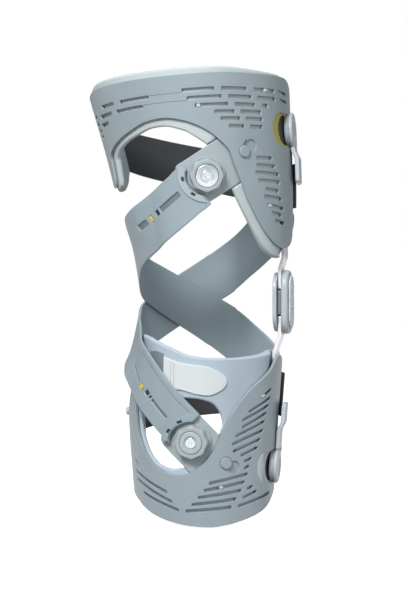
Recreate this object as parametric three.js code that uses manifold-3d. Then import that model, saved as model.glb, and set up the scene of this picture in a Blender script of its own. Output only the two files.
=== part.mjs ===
// Knee brace with one hinge, in the form it has on the leg: slotted thigh and calf shells over padded
// liners, two diagonal force straps with dials, and two back straps that buckle on the hinge side.
// Millimetres and degrees. +Z is up, -Y is the front and +X is the hinge side.
// The origin is the middle of the knee, on the hinge axis.
// Angles run round the leg from its front, positive towards the hinge.
import * as THREE from 'three';
import { mergeVertices } from 'three/addons/utils/BufferGeometryUtils.js';
import Module from 'manifold-3d';

const wasm = await Module();
wasm.setup();

// The leg that the brace is formed on: reach from the axis to each side at each height
const LEG_SECTIONS = [
  { height: -200, left: 46, right: 42, front: 43, back: 53 },
  { height: -140, left: 52, right: 45, front: 47.5, back: 62 },
  { height: -90, left: 55, right: 48, front: 51, back: 63 },
  { height: -40, left: 47.5, right: 52, front: 56, back: 60 },
  { height: 0, left: 50, right: 55.5, front: 60, back: 60 },
  { height: 40, left: 53.8, right: 59, front: 61.5, back: 63 },
  { height: 80, left: 63.5, right: 60, front: 64, back: 68 },
  { height: 120, left: 73.5, right: 59, front: 68, back: 74 },
  { height: 160, left: 85.5, right: 57, front: 72, back: 79 },
  { height: 200, left: 97, right: 55.5, front: 76, back: 86 },
];

// Layers, as distances above the leg
const GAP = 0.3;
const LINER = { inner: 0.3, outer: 4.5 };
const SHELL = { inner: 5.2, wall: 2.4, hingeRise: 4.4, riseFrom: 40, riseTo: 75 };
const SHELL_TOP = SHELL.inner + SHELL.wall + SHELL.hingeRise;
const TONGUE = { inner: 2.6, outer: 4.6, toStrap: 15, toShell: 30, width: 38, pocket: 2.2 };
const TAB = { inner: 4.8, outer: 6.2 };
const SLOT = { width: 2.4, pinLength: 3.2 };
const STRAP = { width: 38, backWidth: 36, wall: 2.3, step: 9 };
const MARK = { width: 4.2, pocket: 1.3 };

// Outlines of the worn panels: the lower and upper edge at each angle, with the corners marked
const THIGH_SHELL = [
  { angle: -108, low: 112, high: 150 },
  { angle: -102, low: 101, high: 160, corner: true },
  { angle: -92, low: 96, high: 165 },
  { angle: -80, low: 95, high: 168 },
  { angle: -66, low: 95.5, high: 171.5, corner: true },
  { angle: -63, low: 101, high: 172.2 },
  { angle: -61.5, low: 118, high: 172.5, corner: true },
  { angle: -55, low: 124.5, high: 173.3 },
  { angle: -45.5, low: 130.2, high: 174.2 },
  { angle: -33, low: 137, high: 175.2 },
  { angle: -22, low: 142.6, high: 176.3 },
  { angle: -11, low: 144.8, high: 177.2 },
  { angle: -1, low: 142.6, high: 178.2 },
  { angle: 13.5, low: 135.8, high: 179.3 },
  { angle: 23, low: 127.6, high: 179.9 },
  { angle: 30, low: 118.7, high: 180.2 },
  { angle: 34, low: 106, high: 180.3 },
  { angle: 38, low: 94.8, high: 180.4 },
  { angle: 43, low: 81, high: 180.4 },
  { angle: 52, low: 63, high: 180.4 },
  { angle: 61, low: 50.6, high: 180.4 },
  { angle: 69, low: 44.8, high: 180.4 },
  { angle: 76, low: 43.5, high: 180.4 },
  { angle: 84, low: 45, high: 180 },
  { angle: 96, low: 52, high: 176 },
  { angle: 106, low: 66, high: 168, corner: true },
  { angle: 112, low: 84, high: 154 },
];
const THIGH_LINER = [
  { angle: -106, low: 108, high: 156 },
  { angle: -100, low: 98, high: 164, corner: true },
  { angle: -90, low: 92, high: 168.5 },
  { angle: -78, low: 91, high: 171 },
  { angle: -66, low: 92, high: 174 },
  { angle: -61, low: 95, high: 175, corner: true },
  { angle: -58.5, low: 106, high: 175.4 },
  { angle: -56, low: 116.5, high: 175.7, corner: true },
  { angle: -43.5, low: 126.3, high: 176.8 },
  { angle: -30.5, low: 132.6, high: 178 },
  { angle: -19.5, low: 137.2, high: 179 },
  { angle: -12.5, low: 138, high: 179.8 },
  { angle: -3, low: 135.2, high: 180.6 },
  { angle: 10, low: 127.2, high: 181.7 },
  { angle: 18.5, low: 120.2, high: 182.3 },
  { angle: 24, low: 111, high: 182.6 },
  { angle: 28, low: 99, high: 182.8 },
  { angle: 32.5, low: 88.4, high: 183 },
  { angle: 38, low: 76.7, high: 183 },
  { angle: 46, low: 62, high: 183 },
  { angle: 53.5, low: 49.5, high: 183 },
  { angle: 60, low: 41, high: 183 },
  { angle: 67.5, low: 36.3, high: 183 },
  { angle: 76, low: 35.5, high: 183 },
  { angle: 84, low: 37.5, high: 182.5 },
  { angle: 96, low: 45, high: 178.5 },
  { angle: 104, low: 57, high: 172, corner: true },
  { angle: 110, low: 74, high: 160 },
];
const CALF_SHELL = [
  { angle: -106, low: -128, high: -92 },
  { angle: -100, low: -140, high: -82, corner: true },
  { angle: -90, low: -148, high: -76 },
  { angle: -78, low: -153, high: -73 },
  { angle: -64, low: -157.5, high: -73 },
  { angle: -56.5, low: -160.6, high: -76, corner: true },
  { angle: -53.5, low: -162.2, high: -82 },
  { angle: -52, low: -163, high: -92 },
  { angle: -50, low: -163.9, high: -103.5, corner: true },
  { angle: -44.5, low: -166.5, high: -115.5 },
  { angle: -38.5, low: -169, high: -124.2 },
  { angle: -29.5, low: -171.8, high: -131.5 },
  { angle: -20.5, low: -174.2, high: -136 },
  { angle: -10.5, low: -176.3, high: -137.5 },
  { angle: -0.5, low: -177.6, high: -135 },
  { angle: 9, low: -178.3, high: -129.3 },
  { angle: 17.5, low: -178.5, high: -120.4 },
  { angle: 23.5, low: -178.2, high: -110.3 },
  { angle: 28, low: -177.6, high: -100.3 },
  { angle: 35, low: -176.7, high: -89.3 },
  { angle: 43.5, low: -175.2, high: -77.2 },
  { angle: 56, low: -172, high: -65 },
  { angle: 70, low: -167, high: -54 },
  { angle: 80, low: -162.5, high: -43.5, corner: true },
  { angle: 86, low: -159, high: -42 },
  { angle: 93, low: -155.5, high: -44.7 },
  { angle: 101, low: -152, high: -56 },
  { angle: 110, low: -147, high: -74, corner: true },
  { angle: 117, low: -134, high: -98 },
];
const CALF_LINER = [
  { angle: -104, low: -126, high: -62 },
  { angle: -98, low: -138, high: -48, corner: true },
  { angle: -88, low: -147, high: -36 },
  { angle: -76, low: -152, high: -29 },
  { angle: -60, low: -158, high: -26 },
  { angle: -46, low: -165, high: -27.6 },
  { angle: -37, low: -168.5, high: -30 },
  { angle: -16, low: -174.2, high: -36.8 },
  { angle: 0.5, low: -176.5, high: -42.2 },
  { angle: 16.5, low: -177, high: -44.1 },
  { angle: 33, low: -175.8, high: -44.3 },
  { angle: 52, low: -172, high: -43 },
  { angle: 66.5, low: -167, high: -41.3 },
  { angle: 78, low: -162, high: -39 },
  { angle: 86, low: -157.5, high: -38.5 },
  { angle: 94, low: -152, high: -41 },
  { angle: 102, low: -142, high: -52, corner: true },
  { angle: 107, low: -130, high: -72 },
];
const CALF_WINDOW = [
  { angle: -53, low: -94, high: -88 },
  { angle: -50, low: -103, high: -83, corner: true },
  { angle: -44, low: -115.5, high: -79.5 },
  { angle: -37, low: -124, high: -77.5 },
  { angle: -28, low: -130, high: -76 },
  { angle: -16.5, low: -132.7, high: -75.5 },
  { angle: -5, low: -131, high: -76 },
  { angle: 5, low: -126, high: -76.7 },
  { angle: 17, low: -116, high: -79.5 },
  { angle: 25, low: -106, high: -86.5, corner: true },
  { angle: 28.5, low: -98, high: -95 },
];
const CALF_TAB = [
  { angle: -24, low: -60, high: -43.2 },
  { angle: -16, low: -68.6, high: -45.5, corner: true },
  { angle: -7.5, low: -69.3, high: -47.6 },
  { angle: 3.5, low: -72.2, high: -49.2 },
  { angle: 14.5, low: -73.8, high: -50.7 },
  { angle: 25.5, low: -69.2, high: -56.4, corner: true },
  { angle: 29, low: -66, high: -59 },
  { angle: 30.5, low: -62.5, high: -60.5 },
];

// Thigh slot rows that follow the top rim: how far below it, and the angles that each slot spans
const RIM_SLOT_ROWS = [
  { drop: 12.7, spans: [[-1, 20.5], [25.5, 44.5], [50, 67.5], [72, 86]] },
  { drop: 19, spans: [[2, 25.5], [30.5, 48], [52.5, 68.5], [74, 87]] },
  { drop: 25, spans: [[7.5, 30], [35, 50.5], [56, 61]] },
  { drop: 30.7, spans: [[20.5, 34.5], [39, 55]] },
  { drop: 36.2, spans: [[24.5, 38.5], [43, 56]] },
  { drop: 42.2, spans: [[30, 41.5], [46, 55.5]] },
  { drop: 15.3, spans: [[-37.5, -18.5], [-55, -42.5]] },
  { drop: 22, spans: [[-41.5, -22.5], [-60, -46]] },
  { drop: 28.4, spans: [[-62, -51.5]] },
];
// Other slots: from and to an angle, the height at the first end and the rise to the other
const THIGH_SLOTS = [
  { from: 50, to: 62.5, height: 114, rise: 0 },
  { from: 50, to: 65, height: 108.2, rise: -0.5 },
  { from: 49, to: 68.5, height: 102.5, rise: -1 },
  { from: 51, to: 69.5, height: 96.3, rise: -1.1 },
  { from: 56.5, to: 68, height: 89.5, rise: -1.3 },
  { from: 55.5, to: 71.5, height: 83.7, rise: -1.6 },
  { from: 58, to: 74, height: 77, rise: -2.4 },
  { from: 62, to: 71.5, height: 71.2, rise: -2 },
  { from: 64.5, to: 75.5, height: 64.9, rise: -1.8 },
];
const CALF_SLOTS = [
  { from: 61.5, to: 73, height: -75.5, rise: 6.6 },
  { from: 50.5, to: 72.5, height: -87, rise: 11.4 },
  { from: 45, to: 70.5, height: -93.8, rise: 11.9 },
  { from: 45, to: 68.5, height: -99.5, rise: 11.5 },
  { from: 39, to: 67, height: -106.5, rise: 11.7 },
  { from: 36, to: 65.5, height: -112.7, rise: 10.7 },
  { from: 37, to: 63, height: -118.6, rise: 9.5 },
  { from: 44.5, to: 60.5, height: -122, rise: 6.2 },
  { from: 48, to: 55, height: -126.8, rise: 2.6 },
  { from: 48, to: 53, height: -132.4, rise: 2 },
  { from: 16, to: 52, height: -143.5, rise: 6.7 },
  { from: 11.5, to: 49, height: -149.2, rise: 6.1 },
  { from: 6.5, to: 46, height: -154.9, rise: 5.1 },
  { from: 0.5, to: 41, height: -160.6, rise: 4.2 },
  { from: -4.5, to: 36.5, height: -165.8, rise: 3 },
  { from: 51.5, to: 57, height: -148.8, rise: 1.9 },
  { from: 47.5, to: 61.5, height: -155.8, rise: 4.9 },
  { from: 43, to: 80, height: -162.5, rise: 9.5 },
  { from: -59, to: -20.5, height: -135.7, rise: -15.6 },
  { from: -57, to: -16, height: -142.4, rise: -16.5 },
  { from: -47.5, to: -10.5, height: -153, rise: -12.4 },
  { from: -60.5, to: -53.5, height: -126.8, rise: -4 },
];
// Pins of the liners that show in the slots: the slot that each one fills, and the angle
const SLOT_PINS = [
  { name: 'thigh_slot_pin_rim', slots: 'rim', index: 2, angle: 59.5 },
  { name: 'thigh_slot_pin_front', slots: 'rim', index: 8, angle: 9.7 },
  { name: 'thigh_slot_pin_side', slots: 'thigh', index: 6, angle: 60.2 },
  { name: 'calf_slot_pin_side', slots: 'calf', index: 0, angle: 63.4 },
  { name: 'calf_slot_pin_front', slots: 'calf', index: 11, angle: 26.5 },
];
// Round studs that hold the liners, each with a shallow round recess beside it
const STUDS = [
  { name: 'thigh_liner_stud', angle: 40.5, height: 118.8, recessAngle: 46, recessHeight: 123.4 },
  { name: 'calf_liner_stud', angle: 30.5, height: -127.4, recessAngle: 38, recessHeight: -131 },
];
const STUD = { radius: 4.8, head: 1.4, neck: 2.2, hole: 2.6, recess: 5, recessDepth: 1.2 };

// Strap routes round the free side: degrees travelled from the front, height, lift off the leg, and tilt,
// how much further the upper edge of a force strap lifts than its middle
const UPPER_FORCE_ROUTE = [
  { round: -8, height: 93.4, lift: 5.4, tilt: 0 },
  { round: 10, height: 76, lift: 5.4, tilt: 0 },
  { round: 16, height: 71, lift: 5.1, tilt: 0.1 },
  { round: 28, height: 62.4, lift: 2.6, tilt: 2.2 },
  { round: 42, height: 55, lift: 4.2, tilt: 4.2 },
  { round: 52, height: 50, lift: 4.4, tilt: 3.7 },
  { round: 62, height: 43.8, lift: 2.8, tilt: 2.5 },
  { round: 76, height: 34.3, lift: 1.4, tilt: 1.4 },
  { round: 95, height: 22, lift: 0.8, tilt: 0 },
  { round: 120, height: 12, lift: 1, tilt: 0 },
  { round: 150, height: -3, lift: 1, tilt: 0 },
  { round: 170, height: -14, lift: 1, tilt: 0 },
  { round: 184, height: -23, lift: 1.6, tilt: 0 },
  { round: 195, height: -31, lift: 4.2, tilt: 0 },
  { round: 208, height: -42, lift: 5.2, tilt: 0 },
  { round: 221, height: -54.5, lift: 10.2, tilt: 0 },
  { round: 232, height: -66, lift: 15.6, tilt: 0 },
];
const UPPER_FORCE_END = 224;
const LOWER_FORCE_ROUTE = [
  { round: 4, height: -102.4, lift: 5.3, tilt: 0 },
  { round: 9, height: -97.5, lift: 6.6, tilt: 0 },
  { round: 17, height: -89.1, lift: 7, tilt: 0 },
  { round: 33, height: -70.8, lift: 8.5, tilt: 0.5 },
  { round: 45, height: -56.7, lift: 9.8, tilt: -0.5 },
  { round: 55, height: -46.2, lift: 8.8, tilt: -3.4 },
  { round: 65, height: -38.2, lift: 9.2, tilt: -6 },
  { round: 78, height: -30.7, lift: 8.4, tilt: -6 },
  { round: 95, height: -22.4, lift: 6.8, tilt: -3 },
  { round: 112, height: -15, lift: 4.6, tilt: -0.6 },
  { round: 140, height: 0, lift: 4, tilt: 0 },
  { round: 170, height: 18, lift: 4.2, tilt: 0 },
  { round: 190, height: 33, lift: 4.6, tilt: 0 },
  { round: 203, height: 44.5, lift: 2.8, tilt: 0 },
  { round: 214, height: 56, lift: 5, tilt: 0 },
  { round: 227, height: 73, lift: 10.4, tilt: 0 },
  { round: 238, height: 89, lift: 15.6, tilt: 0 },
];
const LOWER_FORCE_END = 226;
const THIGH_STRAP_ROUTE = [
  { round: 92, height: 131, lift: 2.2 },
  { round: 112, height: 128, lift: 2.2 },
  { round: 126, height: 124.5, lift: 1.6 },
  { round: 140, height: 121, lift: 1 },
  { round: 180, height: 111, lift: 1 },
  { round: 217, height: 102, lift: 1.5 },
  { round: 231, height: 99, lift: 6.8 },
  { round: 242, height: 96.5, lift: 12.5 },
  { round: 258, height: 95, lift: 12.5 },
];
const CALF_STRAP_ROUTE = [
  { round: 80, height: -90, lift: 1.8 },
  { round: 110, height: -87, lift: 1.8 },
  { round: 124, height: -84.5, lift: 1.4 },
  { round: 138, height: -81.5, lift: 1 },
  { round: 180, height: -77, lift: 1 },
  { round: 211, height: -75.5, lift: 1.5 },
  { round: 225, height: -75, lift: 6.8 },
  { round: 236, height: -75, lift: 12.5 },
  { round: 258, height: -75, lift: 12.5 },
];

// Dials: where each one sits, and the way its strap leaves it, as a turn from the hinge side upwards
const DIALS = {
  upper: { angle: 14, height: 99.7, strapWay: 212 },
  lower: { angle: 1.5, height: -110.5, strapWay: 134 },
};
const DIAL = {
  base: 15, knob: 14, top: 12.4, capRadius: 9, axle: 4, axleHeight: 3.4,
  knobHeight: 8.2, capHeight: 1.8, notch: 15.8, lobes: 8, lobeDepth: 0.45, baseLift: 5.2,
};
const HOOK = { inner: 17.2, outer: 20.8, rise: 1.5, halfTurn: 74 };
// Pockets and the yellow block of each force strap: degrees travelled, and distance below the middle
const UPPER_MARKS = {
  pockets: [
    { from: 2.8, to: 17, side: -3.2 },
    { from: 18.6, to: 21.2, side: -3.4 },
    { from: 30.8, to: 39.7, side: -3.7 },
  ],
  marker: { from: 24.7, to: 27.7, side: -3.4 },
};
const LOWER_MARKS = {
  pockets: [
    { from: 16.4, to: 28.6, side: 2 },
    { from: 31.5, to: 34.3, side: 2.6 },
    { from: 41, to: 51.8, side: 5 },
  ],
  marker: { from: 36, to: 39, side: 4 },
};

// Hinge-side fastenings
const KEYHOLES = {
  thigh: { from: 64.5, to: 104, height: 139 },
  calf: { from: 67, to: 107, height: -132.5 },
};
const KEYHOLE = { width: 28, wall: 1.2 };
const BUCKLES = {
  thigh: { angle: 92, height: 139 },
  calf: { angle: 93, height: -132.5 },
};
const BUCKLE = { radius: 14.3, neck: 11.6, neckDepth: 3.5, depth: 3.4, edge: 1 };
const BUCKLE_TAB = { from: 88, to: 107, wall: 3.6, free: 15.7, seat: 12.7 };
const THIGH_TAB = { top: 133, step: 123, bend: 115.5, end: 96 };
const CALF_TAB_PLATE = { top: -123, step: -104, bend: -96, end: -81 };
const RIVET = { radius: 3.4, head: 2.6, neck: 1.6, hole: 1.9 };
const RIVETS = [
  { name: 'thigh_strap_rivet', strap: 'thigh', angle: -98, height: 130.5 },
  { name: 'calf_strap_rivet', strap: 'calf', angle: -86, height: -89.7 },
];

// Hinge: distances from the leg axis along X, and heights
const BAR = { width: 16, wall: 2.8 };
const UPPER_BAR = [
  { height: 10, inner: 62 },
  { height: 27, inner: 62 },
  { height: 36, inner: 64.9 },
  { height: 116, inner: 64.9 },
];
const LOWER_BAR = [
  { height: -100, inner: 52.5 },
  { height: -40, inner: 57.4 },
  { height: -27, inner: 62 },
  { height: -11, inner: 62 },
];
const HINGE = {
  plateHalf: 24, plateInner: 58.4, plateOuter: 61.7, coverHalf: 26, coverInner: 65.1, coverOuter: 71,
  width: 28, bevel: 1.6, pinHeight: 17.5, pinRadius: 3,
};

// Colours and finishes
const FINISH = {
  shell: { color: 0x97a3ad, roughness: 0.5, metalness: 0 },
  liner: { color: 0xb9c6cf, roughness: 0.9, metalness: 0 },
  tab: { color: 0xdde4e7, roughness: 0.9, metalness: 0 },
  strap: { color: 0xa2aeb5, roughness: 0.65, metalness: 0 },
  tongue: { color: 0x98a4a8, roughness: 0.6, metalness: 0 },
  band: { color: 0x545c63, roughness: 0.9, metalness: 0 },
  knob: { color: 0x8b9498, roughness: 0.4, metalness: 0 },
  metal: { color: 0xd5d8da, roughness: 0.28, metalness: 0.9 },
  yellow: { color: 0xc9b63a, roughness: 0.5, metalness: 0 },
  blue: { color: 0x27384a, roughness: 0.5, metalness: 0 },
  pale: { color: 0xe6ebee, roughness: 0.5, metalness: 0 },
};

// Smooth reading of a table, without overshoot
function slopeAt(table, i, key, column) {
  const rise = (j) => (table[j + 1][column] - table[j][column]) / (table[j + 1][key] - table[j][key]);
  if (i === 0) return rise(0);
  if (i === table.length - 1) return rise(i - 1);
  const before = rise(i - 1);
  const after = rise(i);
  return before * after > 0 ? (2 * before * after) / (before + after) : 0;
}

function read(table, key, at, column) {
  let i = 0;
  while (i < table.length - 2 && at > table[i + 1][key]) i += 1;
  const span = table[i + 1][key] - table[i][key];
  const t = THREE.MathUtils.clamp((at - table[i][key]) / span, 0, 1);
  const bend = t * t * (3 - 2 * t);
  const start = slopeAt(table, i, key, column) * span * t * (1 - t) * (1 - t);
  const end = slopeAt(table, i + 1, key, column) * span * t * t * (1 - t);
  return THREE.MathUtils.lerp(table[i][column], table[i + 1][column], bend) + start - end;
}

// Points on the leg, and above it along its outward direction
function skinPoint(angle, height) {
  const turn = THREE.MathUtils.degToRad(angle);
  const side = read(LEG_SECTIONS, 'height', height, Math.sin(turn) > 0 ? 'right' : 'left');
  const depth = read(LEG_SECTIONS, 'height', height, Math.cos(turn) > 0 ? 'front' : 'back');
  return new THREE.Vector3(Math.sin(turn) * side, -Math.cos(turn) * depth, height);
}

function outward(angle, height) {
  const round = skinPoint(angle + 0.5, height).sub(skinPoint(angle - 0.5, height));
  const up = skinPoint(angle, height + 0.5).sub(skinPoint(angle, height - 0.5));
  return round.cross(up).normalize();
}

function legPoint(angle, height, lift) {
  return skinPoint(angle, height).addScaledVector(outward(angle, height), lift);
}

function perDegree(angle, height, lift) {
  return legPoint(angle + 0.5, height, lift).distanceTo(legPoint(angle - 0.5, height, lift));
}

// A seat on the leg: x round the leg, y up it and z outwards
function seat(angle, height, lift) {
  const out = outward(angle, height);
  const round = skinPoint(angle + 0.5, height).sub(skinPoint(angle - 0.5, height));
  round.addScaledVector(out, -round.dot(out)).normalize();
  const up = out.clone().cross(round);
  return new THREE.Matrix4().makeBasis(round, up, out).setPosition(legPoint(angle, height, lift));
}

function hingeRise(angle) {
  return SHELL.hingeRise * THREE.MathUtils.smoothstep(angle, SHELL.riseFrom, SHELL.riseTo);
}

function noRise() {
  return 0;
}

// Closed meshes and their joins and cuts
function bare(geometry) {
  const clean = geometry.index ? geometry.clone() : mergeVertices(geometry.clone());
  clean.deleteAttribute('normal');
  clean.deleteAttribute('uv');
  const merged = mergeVertices(clean, 1e-4);
  const corners = merged.index.array;
  const kept = [];
  for (let i = 0; i < corners.length; i += 3) {
    const [a, b, c] = [corners[i], corners[i + 1], corners[i + 2]];
    if (a !== b && b !== c && c !== a) kept.push(a, b, c);
  }
  merged.setIndex(kept);
  return merged;
}

function solid(geometry) {
  const merged = bare(geometry);
  return new wasm.Manifold(new wasm.Mesh({
    numProp: 3,
    vertProperties: new Float32Array(merged.attributes.position.array),
    triVerts: new Uint32Array(merged.index.array),
  }));
}

function meshed(body) {
  const out = body.getMesh();
  const geometry = new THREE.BufferGeometry();
  geometry.setAttribute('position', new THREE.BufferAttribute(new Float32Array(out.vertProperties), 3));
  geometry.setIndex(new THREE.BufferAttribute(new Uint32Array(out.triVerts), 1));
  return geometry;
}

function cut(geometry, cutters) {
  return meshed(cutters.reduce((body, cutter) => body.subtract(solid(cutter)), solid(geometry)));
}

function join(geometry, others) {
  return meshed(others.reduce((body, other) => body.add(solid(other)), solid(geometry)));
}

// A box split into a grid, with each point moved to its place
function formed(along, across, place) {
  const box = new THREE.BoxGeometry(1, 1, 1, along, across, 1);
  const spots = box.attributes.position;
  for (let i = 0; i < spots.count; i += 1) {
    const to = place(spots.getX(i) + 0.5, spots.getY(i) + 0.5, spots.getZ(i) + 0.5);
    spots.setXYZ(i, to.x, to.y, to.z);
  }
  return bare(box);
}

// Angles of a panel's columns: its ends, its corners and even steps between them
function columnAngles(outline, step) {
  const fixed = outline.filter(({ corner }, i) => corner || i === 0 || i === outline.length - 1);
  const angles = [fixed[0].angle];
  for (let i = 1; i < fixed.length; i += 1) {
    const from = fixed[i - 1].angle;
    const span = fixed[i].angle - from;
    const count = Math.ceil(span / step);
    for (let j = 1; j <= count; j += 1) angles.push(from + (span * j) / count);
  }
  return angles;
}

// A panel formed over the leg between two lifts
function panel(outline, inner, outer, { across = 3, step = 12, rise = noRise } = {}) {
  const angles = columnAngles(outline, step);
  const last = angles.length - 1;
  return formed(last, across, (u, v, w) => {
    const angle = angles[Math.round(u * last)];
    const low = read(outline, 'angle', angle, 'low');
    const high = read(outline, 'angle', angle, 'high');
    const lift = THREE.MathUtils.lerp(inner, outer, w) + rise(angle);
    return legPoint(angle, THREE.MathUtils.lerp(low, high, v), lift);
  });
}

// A slot over the leg between two lifts, square-ended or with ends rounded in steps
function slotBody(slot, width, inner, outer, options = {}) {
  const { rise = noRise, footRise = rise, roundSteps = 0, step = 30 } = options;
  const middleAngle = (slot.from + slot.to) / 2;
  const scale = perDegree(middleAngle, slot.height + slot.rise / 2, outer + rise(middleAngle));
  const run = (slot.to - slot.from) * scale;
  const length = Math.hypot(run, slot.rise);
  const radius = Math.min(width, length) / 2;
  const rounded = roundSteps > 0 ? radius : 0;
  const stops = [];
  for (let i = 0; i < roundSteps; i += 1) stops.push(radius * (0.12 + (0.88 * i) / roundSteps));
  const middle = Math.max(1, Math.round((length - width) / step));
  for (let i = 0; i <= middle; i += 1) stops.push(rounded + ((length - 2 * rounded) * i) / middle);
  for (let i = roundSteps - 1; i >= 0; i -= 1) stops.push(length - stops[i]);
  const last = stops.length - 1;
  return formed(last, 1, (u, v, w) => {
    const along = stops[Math.round(u * last)];
    const nearEnd = Math.max(0, rounded - Math.min(along, length - along));
    const half = (width / 2) * Math.sqrt(1 - (nearEnd / radius) ** 2);
    const side = (2 * v - 1) * half;
    const angle = slot.from + (along * run - side * slot.rise) / length / scale;
    const height = slot.height + (along * slot.rise + side * run) / length;
    return legPoint(angle, height, w < 0.5 ? inner + footRise(angle) : outer + rise(angle));
  });
}

// A strap swept along its route, lying at the lift that the route has at each angle
function routeFrame(route, round) {
  const height = read(route, 'round', round, 'height');
  const scale = perDegree(-round, height, read(route, 'round', round, 'lift'));
  const ahead = read(route, 'round', round + 0.5, 'height') - read(route, 'round', round - 0.5, 'height');
  const way = new THREE.Vector2(-scale, ahead).normalize();
  return { height, way, scale };
}

function strapPoint(route, round, side, lift) {
  const { height, way, scale } = routeFrame(route, round);
  const angle = -round - (side * way.y) / scale;
  const tilt = 'tilt' in route[0] ? read(route, 'round', -angle, 'tilt') : 0;
  const middle = read(route, 'round', -angle, 'lift');
  return legPoint(angle, height + side * way.x, middle + lift - (tilt * side) / (STRAP.width / 2));
}

function strap(route, end, width, across) {
  const begin = route[0].round;
  const steps = Math.ceil((end - begin) / STRAP.step);
  return formed(steps, across, (u, v, w) => {
    const round = THREE.MathUtils.lerp(begin, end, u);
    return strapPoint(route, round, (v - 0.5) * width, w * STRAP.wall);
  });
}

function strapBlock(route, { from, to, side = 0 }, width, low, high) {
  const steps = Math.max(1, Math.ceil((to - from) / 8));
  return formed(steps, 1, (u, v, w) => {
    const round = THREE.MathUtils.lerp(from, to, u);
    return strapPoint(route, round, side + (v - 0.5) * width, THREE.MathUtils.lerp(low, high, w));
  });
}

// A disc or ring on a seat
function disc(radius, from, to, sides = 20) {
  const geometry = new THREE.CylinderGeometry(radius, radius, to - from, sides);
  return geometry.rotateX(Math.PI / 2).translate(0, 0, (from + to) / 2);
}

function turned(profile, sides) {
  const points = profile.map(([radius, z]) => new THREE.Vector2(radius, z));
  return bare(new THREE.LatheGeometry(points, sides).rotateX(Math.PI / 2));
}

// Shells, liners and what holds them together
function rimSlots() {
  return RIM_SLOT_ROWS.flatMap(({ drop, spans }) => spans.map(([from, to]) => {
    const start = read(THIGH_SHELL, 'angle', from, 'high') - drop;
    const finish = read(THIGH_SHELL, 'angle', to, 'high') - drop;
    return { from, to, height: start, rise: finish - start };
  }));
}

function shellSlot(slot) {
  const past = 3;
  const outer = SHELL.inner + SHELL.wall + past;
  return slotBody(slot, SLOT.width, SHELL.inner - past, outer, { rise: hingeRise });
}

function keyholeBody(keyhole, width, inner, outer) {
  const slot = { ...keyhole, rise: 0 };
  return slotBody(slot, width, inner, outer, { rise: hingeRise, roundSteps: 2, step: 16 });
}

function studCuts(stud) {
  const outer = SHELL.inner + SHELL.wall;
  const hole = disc(STUD.hole, -4, 4, 10);
  const recess = disc(STUD.recess, -STUD.recessDepth, 4, 14);
  hole.applyMatrix4(seat(stud.angle, stud.height, outer));
  recess.applyMatrix4(seat(stud.recessAngle, stud.recessHeight, outer));
  return [hole, recess];
}

function shell(outline, slots, keyhole, stud, rivet) {
  const outer = SHELL.inner + SHELL.wall;
  const wall = panel(outline, SHELL.inner, outer, { rise: hingeRise });
  const rivetHole = disc(RIVET.hole, -5, 5, 10).applyMatrix4(seat(rivet.angle, rivet.height, outer));
  const keyCut = keyholeBody(keyhole, KEYHOLE.width, SHELL.inner - 1, outer + 1);
  return cut(wall, [...slots.map(shellSlot), keyCut, ...studCuts(stud), rivetHole]);
}

function tonguePoint(dial, along, side, lift) {
  const way = THREE.MathUtils.degToRad(dial.strapWay);
  const scale = perDegree(dial.angle, dial.height, TONGUE.outer);
  const round = along * Math.cos(way) - side * Math.sin(way);
  const up = along * Math.sin(way) + side * Math.cos(way);
  return legPoint(dial.angle + round / scale, dial.height + up, lift);
}

function tongueBody(dial, grow, inner, outer) {
  const start = -TONGUE.toShell - grow;
  const length = TONGUE.toShell + TONGUE.toStrap + 2 * grow;
  const width = TONGUE.width + 2 * grow;
  return formed(4, 4, (u, v, w) => {
    const lift = THREE.MathUtils.lerp(inner, outer, w);
    return tonguePoint(dial, start + u * length, (v - 0.5) * width, lift);
  });
}

function tongue(dial) {
  const base = disc(DIAL.base, -2, DIAL.baseLift - TONGUE.outer, 16);
  const axle = disc(DIAL.axle, -1, DIAL.baseLift - TONGUE.outer + DIAL.axleHeight, 10);
  const place = seat(dial.angle, dial.height, TONGUE.outer);
  const plate = tongueBody(dial, 0, TONGUE.inner, TONGUE.outer);
  return join(plate, [base.applyMatrix4(place), axle.applyMatrix4(place)]);
}

function liner(outline, rows, dial, strapRoute, windows) {
  const pad = panel(outline, LINER.inner, LINER.outer, { across: rows });
  const strapEnd = { from: strapRoute[0].round - 1, to: strapRoute[1].round + 4 };
  const strapPocket = strapBlock(strapRoute, strapEnd, STRAP.backWidth + 2, -0.6, 5);
  return cut(pad, [tongueBody(dial, 0.6, TONGUE.pocket, LINER.outer + 2), strapPocket, ...windows]);
}

function linerStud(stud) {
  const top = SHELL.inner + SHELL.wall;
  const foot = LINER.outer + GAP - top;
  const body = turned([
    [0, foot], [STUD.neck, foot], [STUD.neck, GAP], [STUD.radius, GAP], [STUD.radius, STUD.head],
    [STUD.radius - 0.7, STUD.head + 0.5], [0, STUD.head + 0.5],
  ], 12);
  return body.applyMatrix4(seat(stud.angle, stud.height, top));
}

function slotPin({ slots, index, angle }) {
  const slot = SLOTS[slots][index];
  const top = SHELL.inner + SHELL.wall + 0.4;
  const middle = slot.height + (slot.rise * (angle - slot.from)) / (slot.to - slot.from);
  const half = SLOT.pinLength / 2 / perDegree(angle, middle, top);
  const rise = (slot.rise * half * 2) / (slot.to - slot.from);
  const filled = { from: angle - half, to: angle + half, height: middle - rise / 2, rise };
  return slotBody(filled, SLOT.width - 0.7, LINER.outer + GAP, top, { rise: hingeRise, footRise: noRise });
}

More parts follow.
